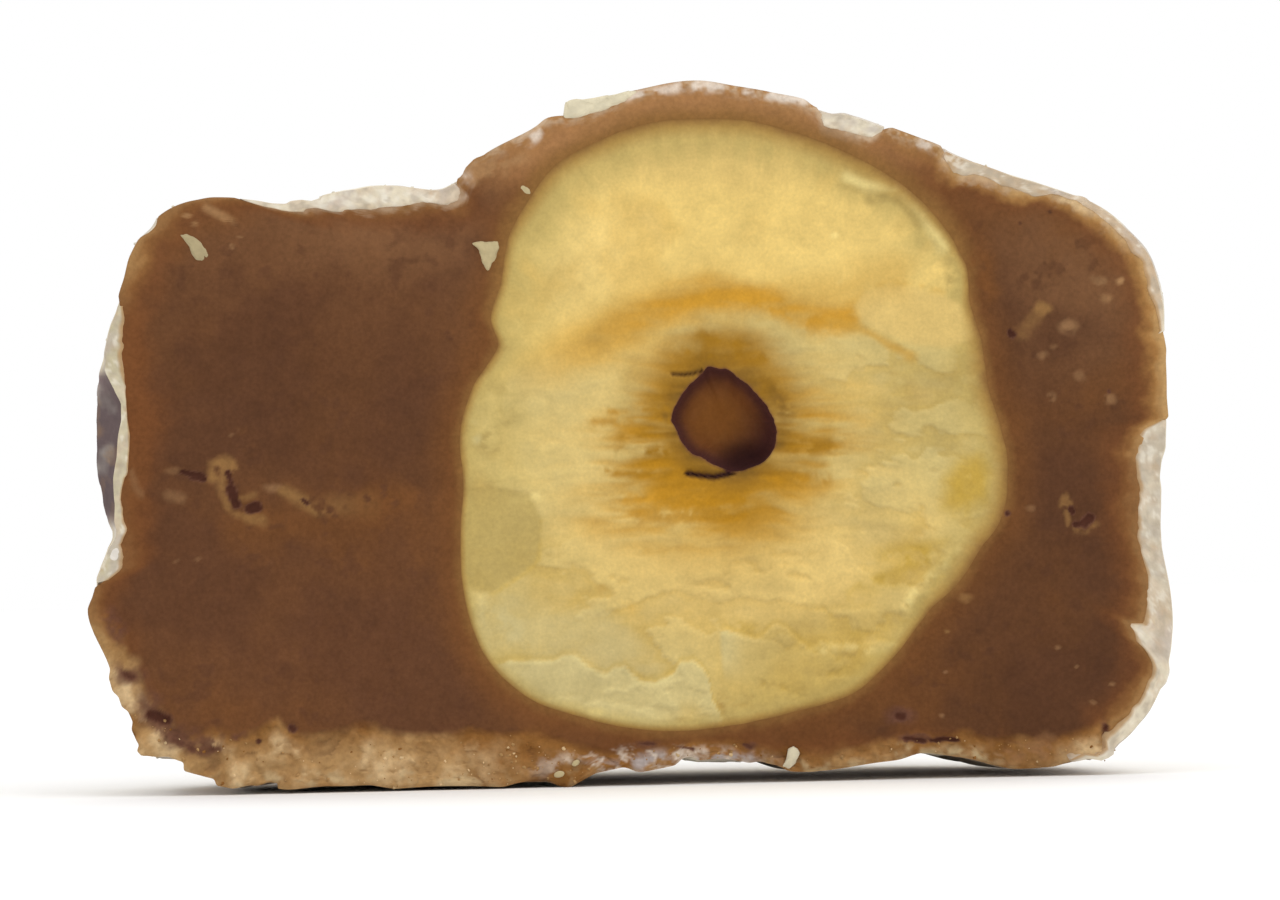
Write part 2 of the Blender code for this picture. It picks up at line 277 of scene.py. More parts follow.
def patch(x, z, points, soft):
    # 1 inside a closed outline, by how often a ray to the right crosses it, with an edge
    # that fades over a distance
    inside = np.zeros(np.shape(x), dtype=bool)
    closed = list(points) + [points[0]]
    for (x0, z0), (x1, z1) in zip(closed, closed[1:]):
        if z0 != z1:
            inside ^= ((z0 > z) != (z1 > z)) & (x < x0 + (z - z0) * (x1 - x0) / (z1 - z0))
    away = lineDistance(x, z, closed)
    return fadeOut(-soft, soft, np.where(inside, -away, away))


def plainPaint(shape, colour):
    # one colour for every place
    return np.ones(shape) * np.array(colour)


def tinted(paint, mask, colour):
    # the paint moved towards a colour where the mask says so
    share = np.clip(mask, 0.0, 1.0)[..., None]
    return paint * (1.0 - share) + np.array(colour) * share


def layered(paint, colours, layers):
    # the paint with layers laid on in turn: a mask and the name of its colour, or a factor of
    # brightness and no name
    for mask, name in layers:
        if name:
            paint = tinted(paint, mask, colours[name])
        else:
            paint = paint * mask[..., None]
    return paint


def marked(paint, x, z, marks, colours, broken):
    # the paint with groups of marks laid on one after another, each a little broken up
    swell = 1.0 + 0.45 * softNoise(asFlat(x, z), 0.5, 31)
    grain = layeredNoise(asFlat(x, z), 0.28, 3, 37)
    middle = 0.3 * broken - 0.2
    breaks = smoothStep(middle - 0.22, middle + 0.22, grain)
    for kind, soft, colour, rows in marks:
        for where, size, share in rows:
            if kind == "spot":
                mask = spot(x, z, where, size, soft)
            elif kind == "line":
                mask = stroke(x, z, where, 1.15 * size * swell, min(soft + 0.2, 1.0))
            else:
                mask = patch(x, z, where, soft)
            paint = tinted(paint, mask * share * breaks, colours[colour])
    return paint


def washed(paint, x, z, grain, washes, colours):
    # the paint with soft washes laid on in turn, each stronger where the grain is
    for middle, size, soft, colour, plain, grainy, most in washes:
        share = spot(x, z, middle, size, soft) * upTo(most, plain + grainy * grain)
        paint = tinted(paint, share, colours[colour])
    return paint


def lumps(points):
    # sum of seeded sine waves in all directions, about -1 to 1
    draw = np.random.RandomState(truffle["seed"])
    total = np.zeros(points.shape[:-1])
    for _ in range(truffle["lumpWaves"]):
        direction = draw.normal(size=3)
        direction /= np.linalg.norm(direction)
        length = draw.uniform(*truffle["lumpLengths"])
        phase = draw.uniform(0.0, math.tau)
        total += np.sin(points @ direction * math.tau / length + phase)
    return total / math.sqrt(truffle["lumpWaves"])


def cutRadius(angles):
    # distance from the heart to the outline of the cut: the plain rim, with every nick added
    # by its share of closeness
    plain = closedRadius(truffle["rim"], truffle["heart"], angles)
    x = truffle["heart"][0] + plain * np.cos(angles)
    z = truffle["heart"][1] + plain * np.sin(angles)
    radius = plain
    for nickX, nickZ, width, push in truffle["nicks"]:
        away = np.hypot(x - nickX, z - nickZ) / width
        radius = radius + push * fadeOut(0.35, 1.1, away)
    return radius


def bodySurface(angles, depth, inset):
    # Outer surface of the whole truffle at a depth behind the cut: the cut's outline eases
    # into the plain rim, later along the base, its dome sinks and its underside is pressed
    # down, it shrinks about a centre that moves to the back pole, and is drawn in by the
    # inset and swollen by lumps, which stay inside the outline along the base
    heart, pole = truffle["heart"], truffle["backPole"]
    roundness = truffle["backRoundness"]
    plain = closedRadius(truffle["rim"], heart, angles)
    low = fadeOut(*truffle["baseEnds"], heart[1] + plain * np.sin(angles))
    (start, end), (baseStart, baseEnd) = truffle["outlineFades"]
    lasts = fadeOut(start + (baseStart - start) * low, end + (baseEnd - end) * low, depth)
    push = cutRadius(angles) - plain
    lasts = np.where(push < 0.0, np.maximum(lasts, low), lasts)
    radius = plain + push * lasts
    share = depth / truffle["halfDepth"]
    x = heart[0] + radius * np.cos(angles)
    z = heart[1] + radius * np.sin(angles)
    dome = upTo(1.0, 1.0 - (depth / truffle["domeLength"]) ** roundness)
    top = truffle["shoulderZ"]
    z = np.where(z > top, top + (z - top) * dome, z)
    pressed = truffle["sink"] * smoothStep(truffle["sinkStart"], truffle["sinkFull"], depth)
    z = z - pressed * fadeOut(0.6, 2.6, z)
    shrink = (1.0 - share ** roundness) ** (1.0 / roundness)
    ring = np.stack((
        heart[0] + (pole[0] - heart[0]) * share ** 2 + (x - heart[0]) * shrink,
        truffle["frontY"] + depth + 0.0 * x,
        heart[1] + (pole[1] - heart[1]) * share ** 2 + (z - heart[1]) * shrink,
    ), axis=-1)
    middle = np.array((heart[0], truffle["frontY"], heart[1]))
    ray = ring - middle
    reach = np.linalg.norm(ray, axis=-1)
    swell = truffle["lumpHeight"] * smoothStep(0.0, 2.5, depth) * lumps(ring)
    swell = swell + unevenness(ring) * smoothStep(-0.2, 0.6, depth)
    swell = swell * (1.0 - low) + np.minimum(swell, 0.0) * low
    moved = middle + ray * ((reach + swell - inset) / reach)[..., None]
    moved[..., 2] = np.maximum(moved[..., 2], 0.0)
    return moved


def unevenness(points):
    # small bumps of the outer surface, stronger along the crumbly base
    low = fadeOut(0.8, 2.6, points[..., 2])
    fine = layeredNoise(points, 0.55, 3, 211)
    return (0.02 + 0.075 * low) * fine + 0.035 * softNoise(points, 1.7, 223)


def ringPoints(angles, radius, depth):
    # points round the heart, a depth behind the cut plane
    x = truffle["heart"][0] + radius * np.cos(angles)
    z = truffle["heart"][1] + radius * np.sin(angles)
    return np.stack(np.broadcast_arrays(x, truffle["frontY"] + depth, z), axis=-1)


def onCircle(angles):
    # places on a circle, as points for the noises
    return np.stack((np.cos(angles), np.sin(angles), 0.0 * angles), axis=-1)


def asFlat(x, z):
    # places in the cut plane, as points for the noises
    return np.stack((x, 0.0 * x, z), axis=-1)


def tubePart(rings, paint, start=None, end=None):
    # Places, faces and colours of a closed shape from a grid of points: each row is a closed
    # ring, next to its neighbours, and a fan shuts each end, about the ring's middle or a pole
    # that is given; all faces are turned over where the volume inside them comes out negative
    start = rings[0].mean(axis=0) if start is None else start
    end = rings[-1].mean(axis=0) if end is None else end
    count, columns = rings.shape[:2]
    places = np.concatenate((rings.reshape(-1, 3), np.array((start, end), dtype=float)))
    colours = np.concatenate((
        paint.reshape(-1, 3), paint[:1].mean(axis=1), paint[-1:].mean(axis=1)
    ))
    index = np.arange(count * columns).reshape(count, columns)
    lower, upper = index[:-1], index[1:]
    quads = np.stack((
        lower, np.roll(lower, -1, axis=1), np.roll(upper, -1, axis=1), upper
    ), axis=-1).reshape(-1, 4)
    low, high = index[0], index[-1]
    first = count * columns
    fans = np.concatenate((
        np.stack((np.roll(low, -1), low, np.full(columns, first)), axis=-1),
        np.stack((high, np.roll(high, -1), np.full(columns, first + 1)), axis=-1),
    ))
    a, b, c, d = (places[quads[:, corner]] for corner in range(4))
    volume = np.einsum("ij,ij->", a, np.cross(b, c)) + np.einsum("ij,ij->", a, np.cross(c, d))
    if volume < 0.0:
        quads = quads[:, ::-1]
        fans = fans[:, ::-1]
    return places, quads, fans, colours


def placed(name, data):
    # a new object in the scene
    thing = bpy.data.objects.new(name, data)
    bpy.context.scene.collection.objects.link(thing)
    return thing


def makePiece(name, parts, material):
    # one mesh from one or more closed parts, with its colours in the attribute "paint"
    offsets = np.cumsum([0] + [len(part[0]) for part in parts[:-1]])
    places = np.concatenate([part[0] for part in parts])
    quads = np.concatenate([part[1] + offset for part, offset in zip(parts, offsets)])
    fans = np.concatenate([part[2] + offset for part, offset in zip(parts, offsets)])
    colours = np.concatenate([part[3] for part in parts])
    mesh = bpy.data.meshes.new(name)
    mesh.vertices.add(len(places))
    mesh.vertices.foreach_set("co", (places * mm).astype(np.float32).ravel())
    mesh.loops.add(quads.size + fans.size)
    corners = np.concatenate((quads.ravel(), fans.ravel()))
    mesh.loops.foreach_set("vertex_index", corners.astype(np.int32))
    mesh.polygons.add(len(quads) + len(fans))
    starts = np.concatenate((
        np.arange(len(quads)) * 4, quads.size + np.arange(len(fans)) * 3
    ))
    mesh.polygons.foreach_set("loop_start", starts.astype(np.int32))
    mesh.update(calc_edges=True)
    mesh.validate()
    mesh.shade_smooth()
    mesh.set_sharp_from_angle(angle=math.radians(70.0))
    layer = mesh.attributes.new("paint", "FLOAT_COLOR", "POINT")
    layer.data.foreach_set("color", np.column_stack((
        colours, np.ones(len(colours)))).astype(np.float32).ravel())
    mesh.materials.append(material)
    print(name, "has", 2 * len(quads) + len(fans), "triangles")
    return placed(name, mesh)


def paintedMaterial(name, look):
    # Principled surface whose colour is the piece's paint, varied by a few sizes of noise, with
    # a roughness that varies and a fine bump
    material = bpy.data.materials.new(name)
    material.use_nodes = True
    tree = material.node_tree
    nodes, links = tree.nodes, tree.links
    shader = nodes["Principled BSDF"]
    place = nodes.new("ShaderNodeTexCoord")
    paint = nodes.new("ShaderNodeAttribute")
    paint.attribute_name = "paint"
    colour = paint.outputs["Color"]

    def noise(scale, detail, roughness=0.55):
        node = nodes.new("ShaderNodeTexNoise")
        node.inputs["Scale"].default_value = scale / mm
        node.inputs["Detail"].default_value = detail
        node.inputs["Roughness"].default_value = roughness
        links.new(place.outputs["Object"], node.inputs["Vector"])
        return node.outputs["Fac"]

    def spread(value, low, high):
        # most of a noise lies between 0.3 and 0.7
        node = nodes.new("ShaderNodeMapRange")
        node.inputs["From Min"].default_value = 0.3
        node.inputs["From Max"].default_value = 0.7
        node.inputs["To Min"].default_value = low
        node.inputs["To Max"].default_value = high
        links.new(value, node.inputs["Value"])
        return node.outputs["Result"]

    for scale, low, high in look["shades"]:
        # lighter and darker by a noise
        node = nodes.new("ShaderNodeVectorMath")
        node.operation = "SCALE"
        links.new(colour, node.inputs[0])
        links.new(spread(noise(scale, 3.0), low, high), node.inputs["Scale"])
        colour = node.outputs["Vector"]
    links.new(colour, shader.inputs["Base Color"])
    roughness = spread(noise(look["roughScale"], 2.0), *look["roughness"])
    links.new(roughness, shader.inputs["Roughness"])
    bump = nodes.new("ShaderNodeBump")
    bump.inputs["Strength"].default_value = look["bump"]
    bump.inputs["Distance"].default_value = look["bumpDepth"] * mm
    links.new(noise(look["bumpScale"], 4.0, 0.6), bump.inputs["Height"])
    links.new(bump.outputs["Normal"], shader.inputs["Normal"])
    shader.inputs["Specular IOR Level"].default_value = look["specular"]
    return material


# The soft brown core
core = {
    "colours": {
        "brown": (0.116, 0.0475, 0.019),
        "warm": (0.162, 0.063, 0.019),
        "dusk": (0.092, 0.038, 0.018),
        "dustyAndLit": (0.195, 0.09, 0.039),
        "oliveTan": (0.25, 0.128, 0.044),
        "smoke": (0.24, 0.125, 0.056),
        "paleTan": (0.35, 0.19, 0.082),
        "domeBrown": (0.345, 0.169, 0.066),
        "rimTan": (0.465, 0.285, 0.118),
        "rimOrangeGlow": (0.335, 0.168, 0.052),
        "rimRed": (0.165, 0.06, 0.019),
        "frost": (0.7, 0.6, 0.5),
        "blush": (0.56, 0.43, 0.3),
        # painted shade for the pits and for the hollows between the crumbs
        "pitShade": (0.07, 0.024, 0.014),
        "softPitShade": (0.13, 0.055, 0.033),
        "crustTan": (0.4, 0.235, 0.095),
        "crustLight": (0.66, 0.47, 0.255),
        "crustBrown": (0.26, 0.115, 0.03),
        "crustShade": (0.1, 0.04, 0.02),
        "crustPink": (0.27, 0.135, 0.058),
        "shadedPowder": (0.4, 0.35, 0.335),
        "cream": (0.5, 0.39, 0.22),
    },
    # upper edge of the crumbly crust along the base
    "crustTop": [
        (-13.0, 4.3), (-12.6, 3.9), (-12.1, 3.5), (-11.8, 3.1), (-11.55, 2.5), (-11.2, 2.1),
        (-10.9, 1.62), (-10.5, 1.47), (-10.0, 1.57), (-9.4, 1.45), (-8.9, 1.6), (-8.45, 1.8),
        (-8.15, 1.5), (-7.4, 1.45), (-6.6, 1.55), (-6.1, 1.62), (-5.6, 1.45), (-5.1, 1.35),
        (-3.1, 1.41), (-2.3, 1.38), (-1.6, 1.15), (-1.0, 0.9), (-0.3, 0.81), (0.8, 0.97),
        (2.6, 0.98), (3.4, 0.72), (4.1, 0.75), (4.6, 0.6), (5.4, 0.78), (6.5, 1.05), (7.9, 1.08),
        (8.8, 0.91), (9.9, 0.88), (10.8, 1.11), (11.6, 1.2), (11.95, 1.4), (12.5, 2.1),
    ],
    # pits and cracks in the cut face: line, half width, depth
    "pits": [
        ([(-10.6, 7.79), (-10.36, 7.72)], 0.06, 0.26),
        ([(-10.36, 7.71), (-10.14, 7.65)], 0.095, 0.3),
        ([(-9.52, 7.72), (-9.45, 7.5)], 0.07, 0.24),
        ([(-9.47, 7.36), (-9.42, 7.15), (-9.35, 7.02)], 0.11, 0.3),
        ([(-8.99, 6.86), (-8.86, 6.9)], 0.12, 0.34),
        ([(-7.74, 7.05), (-7.63, 6.96)], 0.05, 0.16),
        ([(9.34, 10.68), (9.4, 10.62)], 0.075, 0.34),
        ([(10.8, 6.03), (10.98, 6.06)], 0.09, 0.26),
        ([(10.98, 6.07), (11.14, 6.17)], 0.13, 0.26),
        ([(10.7, 6.4), (10.74, 6.32)], 0.06, 0.18),
        ([(6.42, 1.55), (6.52, 1.52)], 0.13, 0.16),
        ([(11.66, 9.21), (11.68, 9.2)], 0.05, 0.1),
        ([(9.15, 6.33), (9.17, 6.32)], 0.06, 0.14),
        ([(-12.1, 2.96), (-11.95, 2.88)], 0.11, 0.12),
        ([(-11.5, 1.97), (-11.35, 1.94), (-11.15, 1.85)], 0.14, 0.22),
        ([(-10.97, 1.38), (-10.8, 1.27)], 0.09, 0.09),
        ([(-10.6, 1.18), (-10.5, 1.1)], 0.07, 0.08),
        ([(-10.04, 1.13), (-9.9, 1.13)], 0.1, 0.11),
        ([(-8.95, 1.29), (-8.93, 1.28)], 0.055, 0.12),
        ([(-8.15, 1.58), (-8.12, 1.56)], 0.085, 0.14),
        ([(6.55, 1.0), (6.81, 0.97), (7.05, 0.92)], 0.07, 0.16),
        ([(7.2, 0.92), (7.5, 0.95), (7.85, 0.92)], 0.06, 0.2),
        ([(11.4, 1.2), (11.36, 0.95)], 0.07, 0.16),
        ([(0.25, 1.01), (0.55, 1.0)], 0.055, 0.1),
        ([(1.15, 0.92), (1.5, 0.86)], 0.05, 0.1),
        ([(2.7, 0.94), (2.86, 0.87)], 0.05, 0.1),
    ],
    # colour marks on the cut face in groups: kind, softness, colour, then place, size and
    # share of each
    "marks": [
        ("spot", 0.8, "dusk", [((-8.9, 8.6), (0.9, 0.6), 0.5)]),
        ("line", 0.9, "warm", [([(-9.3, 6.45), (-7.6, 6.45), (-5.6, 6.85)], 0.5, 0.6)]),
        ("line", 0.6, "oliveTan", [
            ([(-9.9, 7.68), (-9.81, 7.9), (-9.66, 8.01), (-9.47, 7.94)], 0.1, 1.0),
        ]),
        ("line", 0.7, "oliveTan", [
            ([(-9.68, 7.75), (-9.65, 7.24), (-9.54, 6.92), (-9.32, 6.74)], 0.1, 0.8),
            ([(-9.2, 7.12), (-8.9, 7.17)], 0.09, 0.6), ([(-9.1, 6.66), (-8.75, 6.6)], 0.1, 0.8),
        ]),
        ("spot", 0.6, "smoke", [
            ((-8.43, 7.36), (0.2, 0.12), 0.8), ((-10.83, 7.82), (0.17, 0.09), 0.5),
            ((-9.18, 8.79), (0.09, 0.06), 0.6), ((-9.42, 8.65), (0.07, 0.05), 0.5),
            ((-10.28, 5.68), (0.06, 0.05), 0.6), ((-10.82, 5.65), (0.05, 0.05), 0.5),
        ]),
        ("line", 0.7, "oliveTan", [
            ([(-8.2, 7.26), (-7.9, 7.12), (-7.35, 6.76)], 0.1, 0.9),
            ([(9.62, 10.68), (9.87, 10.97), (10.08, 11.2)], 0.11, 0.5),
            ([(10.5, 6.5), (10.57, 6.66), (10.65, 6.5)], 0.08, 0.9),
            ([(10.62, 6.31), (10.6, 6.04)], 0.07, 0.7),
            ([(10.78, 5.86), (11.03, 5.85), (11.25, 5.98)], 0.08, 0.6),
        ]),
        ("line", 0.9, "oliveTan", [([(-7.3, 6.8), (-6.9, 6.88), (-6.2, 6.92)], 0.17, 0.5)]),
        ("line", 0.9, "warm", [([(-6.2, 6.92), (-5.2, 7.1)], 0.25, 0.6)]),
        ("line", 0.8, "smoke", [
            ([(-11.82, 7.83), (-11.75, 7.48), (-11.61, 7.27)], 0.08, 0.5),
            ([(-10.95, 7.22), (-10.66, 7.17)], 0.08, 0.6),
        ]),
        ("line", 0.7, "paleTan", [
            ([(-9.88, 14.1), (-9.5, 13.89), (-9.31, 13.74)], 0.08, 0.8),
            ([(-3.5, 14.73), (-3.16, 14.84), (-2.76, 14.93), (-2.37, 15.12)], 0.14, 0.9),
        ]),
        ("spot", 0.6, "paleTan", [
            ((-10.36, 13.93), (0.09, 0.06), 0.8), ((-10.17, 13.75), (0.08, 0.06), 0.7),
            ((-9.15, 13.67), (0.06, 0.06), 0.7),
        ]),
        ("spot", 0.6, "smoke", [((-9.3, 13.17), (0.05, 0.05), 0.8), ((-9.09, 13.39), (0.05, 0.04), 0.8)]),
        ("spot", 0.5, "oliveTan", [((10.12, 11.23), (0.2, 0.15), 1.0)]),
        ("spot", 0.6, "smoke", [
            ((10.73, 10.78), (0.22, 0.17), 1.0), ((11.5, 11.88), (0.16, 0.11), 0.9),
            ((10.1, 10.11), (0.13, 0.1), 0.7), ((10.35, 10.32), (0.1, 0.07), 0.5),
            ((10.97, 9.58), (0.13, 0.11), 0.6), ((10.3, 9.08), (0.12, 0.1), 0.7),
            ((11.69, 9.02), (0.15, 0.12), 0.8), ((9.72, 6.45), (0.1, 0.08), 0.5),
            ((10.3, 3.08), (0.06, 0.05), 0.7), ((7.55, 2.6), (0.06, 0.04), 0.7),
            ((10.76, 2.6), (0.05, 0.05), 0.7), ((11.58, 2.17), (0.07, 0.05), 0.8),
            ((11.13, 1.74), (0.07, 0.05), 0.7), ((7.47, 1.53), (0.06, 0.05), 0.7),
        ]),
        ("spot", 0.6, "paleTan", [((11.65, 11.44), (0.13, 0.1), 0.5), ((12.0, 11.85), (0.1, 0.09), 1.0)]),
        ("spot", 0.6, "dusk", [((10.33, 13.55), (0.05, 0.05), 1.0), ((9.63, 13.28), (0.05, 0.05), 1.0)]),
        ("line", 0.8, "warm", [([(8.66, 12.3), (8.7, 11.95), (8.8, 11.7)], 0.22, 1.0)]),
        ("spot", 0.7, "oliveTan", [((8.1, 4.33), (0.16, 0.1), 0.7)]),
        ("spot", 0.6, "oliveTan", [((7.67, 3.51), (0.06, 0.05), 0.8)]),
    ],
    # powder and pale crumbs that lie on the crust and on the margin of the dome
    "dusting": [
        ("line", 0.6, "frost", [([(-2.36, 15.41), (-1.96, 15.65), (-1.62, 15.84)], 0.09, 0.8)]),
        ("line", 0.7, "frost", [
            ([(0.3, 16.55), (0.8, 16.62), (1.44, 16.74)], 0.1, 0.75),
            ([(-4.1, 14.4), (-3.9, 14.35), (-3.75, 14.6)], 0.13, 0.7),
        ]),
        ("line", 0.6, "frost", [
            ([(1.54, 16.79), (2.03, 16.8), (2.5, 16.72)], 0.1, 0.9),
            ([(3.15, 16.62), (3.74, 16.52), (4.5, 16.38)], 0.11, 0.95),
            ([(7.14, 15.4), (7.53, 15.2), (7.87, 14.97)], 0.13, 0.8),
        ]),
        ("line", 0.7, "crustLight", [([(10.09, 14.12), (10.68, 13.94), (11.16, 13.66)], 0.11, 0.7)]),
        ("line", 0.7, "crustTan", [
            ([(-12.62, 3.85), (-12.29, 3.53), (-11.95, 3.18)], 0.12, 0.7),
            ([(-11.91, 2.78), (-11.84, 2.54), (-11.73, 2.24)], 0.1, 0.8),
        ]),
        # mauve powder along the base, its colour painted shade
        ("line", 0.8, "shadedPowder", [
            ([(-1.15, 0.6), (-0.41, 0.46), (0.25, 0.56)], 0.13, 0.5),
            ([(0.25, 0.6), (0.9, 0.66), (1.5, 0.56), (2.04, 0.7), (2.8, 0.56)], 0.15, 0.9),
        ]),
        ("line", 0.7, "cream", [([(6.5, 0.64), (7.23, 0.6), (8.07, 0.63), (8.65, 0.47)], 0.13, 0.75)]),
        ("line", 0.7, "crustPink", [([(8.8, 0.6), (9.4, 0.64), (9.95, 0.68)], 0.2, 0.8)]),
        ("line", 0.7, "crustLight", [([(10.9, 0.7), (11.25, 0.71), (11.7, 0.7)], 0.17, 0.7)]),
    ],
    # painted shade, darker and purplish, in the hollows between the crumbs: middle, half sizes, turn in
    # degrees
    "crumbHollowShades": [
        ((-12.35, 4.1), (0.2, 0.4), 25.0), ((-12.05, 2.95), (0.4, 0.25), -20.0),
        ((-11.5, 2.2), (0.3, 0.4), 30.0), ((-11.25, 1.7), (0.65, 0.28), -35.0),
        ((-10.7, 1.35), (0.55, 0.27), -20.0), ((-10.1, 1.2), (0.32, 0.25), 0.0),
        ((-9.4, 1.42), (0.18, 0.1), 0.0), ((6.9, 1.0), (0.55, 0.1), -6.0),
        ((6.5, 1.55), (0.36, 0.2), 0.0), ((11.4, 1.1), (0.1, 0.25), 0.0),
        ((0.4, 0.98), (0.3, 0.1), 0.0), ((2.8, 0.9), (0.2, 0.1), 0.0),
    ],
    # brightness of the brown by height in the left half, and in the right half
    "tones": [(0.0, 1.17), (3.0, 1.17), (6.0, 1.07), (8.0, 1.02), (11.0, 1.02), (14.0, 1.06)],
    "rightTone": 0.93,
    # paler spots of the brown: middle, half sizes, softness, colour, share, what the grain adds to
    # it, and the most that it may be
    "washes": [
        ((11.2, 12.2), (1.7, 2.2), 0.8, "dustyAndLit", 0.75, 0.0, 1.0),
        ((-5.2, 13.4), (2.6, 0.9), 0.8, "dustyAndLit", 0.7, 0.0, 1.0),
    ],
    "powder": ((0.5, 0.5), (2.5, 0.42), 0.4),    # along the base: middle, half sizes, softness
    # where the crust is browner along X: start, full, ease, end
    "brownMiddle": (-4.4, -3.0, 2.6, 3.6),
    "brownRight": (5.8, 6.8, 10.4, 11.2),
    "crustBehind": (0.8, 2.2),   # heights between which the crust ends behind the cut
    "domeAngles": (44.0, 60.0, 124.0, 139.0),    # the same for the pale margin of the dome
    "redSide": (182.0, 18.0),    # angle of the redder rim, and how far it reaches
    # how strongly the outer rim's painted orange glow and its tan show, by angle round the heart
    "rimShows": [
        (-180, 0.0), (-165, 0.35), (-155, 0.6), (-145, 0.45), (-50, 0.4), (-38, 0.5), (-28, 0.3),
        (-8, 0.2), (-1, 0.8), (12, 1.0), (40, 0.9), (50, 0.6), (60, 0.2), (125, 0.2), (138, 0.3),
        (150, 0.15), (155, 0.2), (160, 0.25), (163, 0.5), (166, 0.3), (169, 0.05), (180, 0.0),
    ],
    "pitStrength": 0.28,
    "strokeHeight": 0.01,        # of the marks that are lines
    "rimTurn": 0.07,             # how far the edge at the rim is turned in
    "crustRagged": 0.2,
    "crustDepth": 0.07,          # how far the crust lies back in the middle of its crumbs
    "crustProud": 0.03,          # how far a crumb may stand proud of the cut plane
    "crumbSize": 0.3,
    "clumpSize": 0.75,
    "clumpHeight": 0.2,
    "slab": 1.0,                 # thickness of the pieces with the cut face
    "wallDepths": (0.5, 0.12),   # rows up the pocket's wall and down the side, within the slab
    "sideDepths": (0.2, 0.3, 0.42, 0.6, 0.8),
    "faceRows": 140,
    # the two pieces with the cut face: side, angles round the heart, columns
    "halves": [("Left", (95.0, 265.0), 660), ("Right", (-95.0, 95.0), 600)],
    "bodyStart": 0.6,            # depth at which the body behind the cut face begins
    "bodyColumns": 480,
    "bodyRows": 84,
    "pocketRows": 8,
    "pocketGap": 0.1,            # between the back of the kernel and the pocket
    "pocketSide": 0.05,          # and round its sides
    "bodyInset": 0.02,           # how far the body keeps inside the sides of the slab
    "look": {
        "shades": [(0.8, 0.96, 1.04), (2.2, 0.93, 1.07), (11.0, 0.9, 1.1)],
        "roughScale": 1.2,
        "roughness": (0.6, 0.78),
        "bump": 0.3,
        "bumpDepth": 0.02,
        "bumpScale": 8.0,
        "specular": 0.06,
    },
}

# Sugar coat, with its values at angles round the heart in degrees
coat = {
    # thickness in the cut
    "band": [
        (-180, 0.83), (-178.5, 0.79), (-176.6, 0.68), (-175, 0.52), (-172, 0.31), (-170.2, 0.24),
        (-168.7, 0.52), (-167.6, 0.6), (-166.6, 0.0), (-48, 0.0), (-44, 0.2), (-39.6, 0.35),
        (-34.7, 0.33), (-31.3, 0.4), (-30.1, 0.52), (-29.6, 0.82), (-28.6, 0.98), (-28.1, 1.2),
        (-27.2, 0.8), (-23, 0.63), (-21.5, 0.58), (-19, 0.62), (-15, 0.55), (-11, 0.54),
        (-8.4, 0.59), (-6.2, 0.68), (-4.2, 0.62), (-2.2, 0.5), (-0.9, 0.0), (8, 0.0),
        (11, 0.12), (13.5, 0.16), (16.5, 0.22), (25, 0.24), (31, 0.18), (33.8, 0.13),
        (35.0, 0.34), (37.8, 0.36), (41, 0.27), (43.7, 0.3), (44.8, 0.46), (46.3, 0.42),
        (48.6, 0.24), (50.9, 0.0), (59.5, 0.0), (60.5, 0.1), (62, 0.37), (67.9, 0.4),
        (70.4, 0.3), (72.8, 0.0), (137, 0.0), (138, 0.22), (140, 0.46), (142.3, 0.6),
        (145.2, 0.84), (148, 0.84), (149.3, 0.76), (150.3, 0.58), (151.3, 0.42), (153.4, 0.44),
        (153.9, 0.3), (154.3, 0.0), (167, 0.0), (168, 0.12), (170.4, 0.33), (173.4, 0.46),
        (175.3, 0.65), (178, 0.76), (180, 0.83),
    ],
    # how much of that is rounded over towards the side
    "roll": [
        (-180, 0.52), (-178, 0.47), (-176, 0.34), (-173.6, 0.29), (-171.5, 0.12), (-169.5, 0.03),
        (172.5, 0.02), (174, 0.12), (175.7, 0.41), (177, 0.56), (178.6, 0.59), (180, 0.52),
    ],
    # colours of the coat's edge in the cut: first and last angle, colour, share
    "sections": [
        (60, 73, "cream", 0.9), (47, 52, "tan", 0.75), (34, 46, "shade", 0.55), (12, 33, "blush", 0.7),
        (14, 44, "tan", 0.3), (-8, -2, "shade", 0.6), (-27, -24, "tan", 0.3),
        (-48, -31, "cream", 0.7), (166, 174, "straw", 0.8), (172, 208, "straw", 0.75),
        (137, 141, "blush", 0.6), (-24, -5, "shade", 0.5),
    ],
    "thin": 0.12,                # thickness away from the cut
    "start": 0.3,                # depth at which it starts where the cut shows none
    "columns": 690,
    "frontRows": 12,             # across its edge in the cut
    "sideRows": 14,              # the first ones of the outside
    "backRows": 108,
    "hiddenDepths": (10.9, 10.7, 9.9, 5.5, 0.9),
    "hiddenInset": 1.3,          # how far inside the hidden shell lies
    "sideStep": 0.075,
    "powderHeight": 0.045,
    "crumbHeight": 0.03,
    "edgeRound": 0.05,           # rounding of its edge in the cut
    "setBack": 0.6,              # where the cut shows none, its first ring is so far back
    "lessSetBack": (0.4, 4.0, 16.0),            # how much less, round which angle, how far
    # the top of the cut, and where the dome is rubbed: start, full, ease, end
    "topAngles": (18.0, 30.0, 150.0, 158.0),
    "rubbedAngles": (46.0, 66.0, 112.0, 134.0),
    "colours": {
        "cream": (0.71, 0.63, 0.48),
        "white": (0.78, 0.72, 0.6),
        "shade": (0.45, 0.38, 0.29),
        "blush": (0.6, 0.47, 0.34),
        "straw": (0.5, 0.44, 0.29),
        "lilac": (0.47, 0.41, 0.385),
        "shadedPowder": (0.2, 0.142, 0.145),
        "tan": (0.42, 0.25, 0.11),
        "rubbed": (0.36, 0.215, 0.11),
    },
    "look": {
        "shades": [(1.1, 0.95, 1.04), (6.0, 0.92, 1.06)],
        "roughScale": 2.0,
        "roughness": (0.8, 1.0),
        "bump": 0.3,
        "bumpDepth": 0.03,
        "bumpScale": 8.0,
        "specular": 0.05,
    },
}


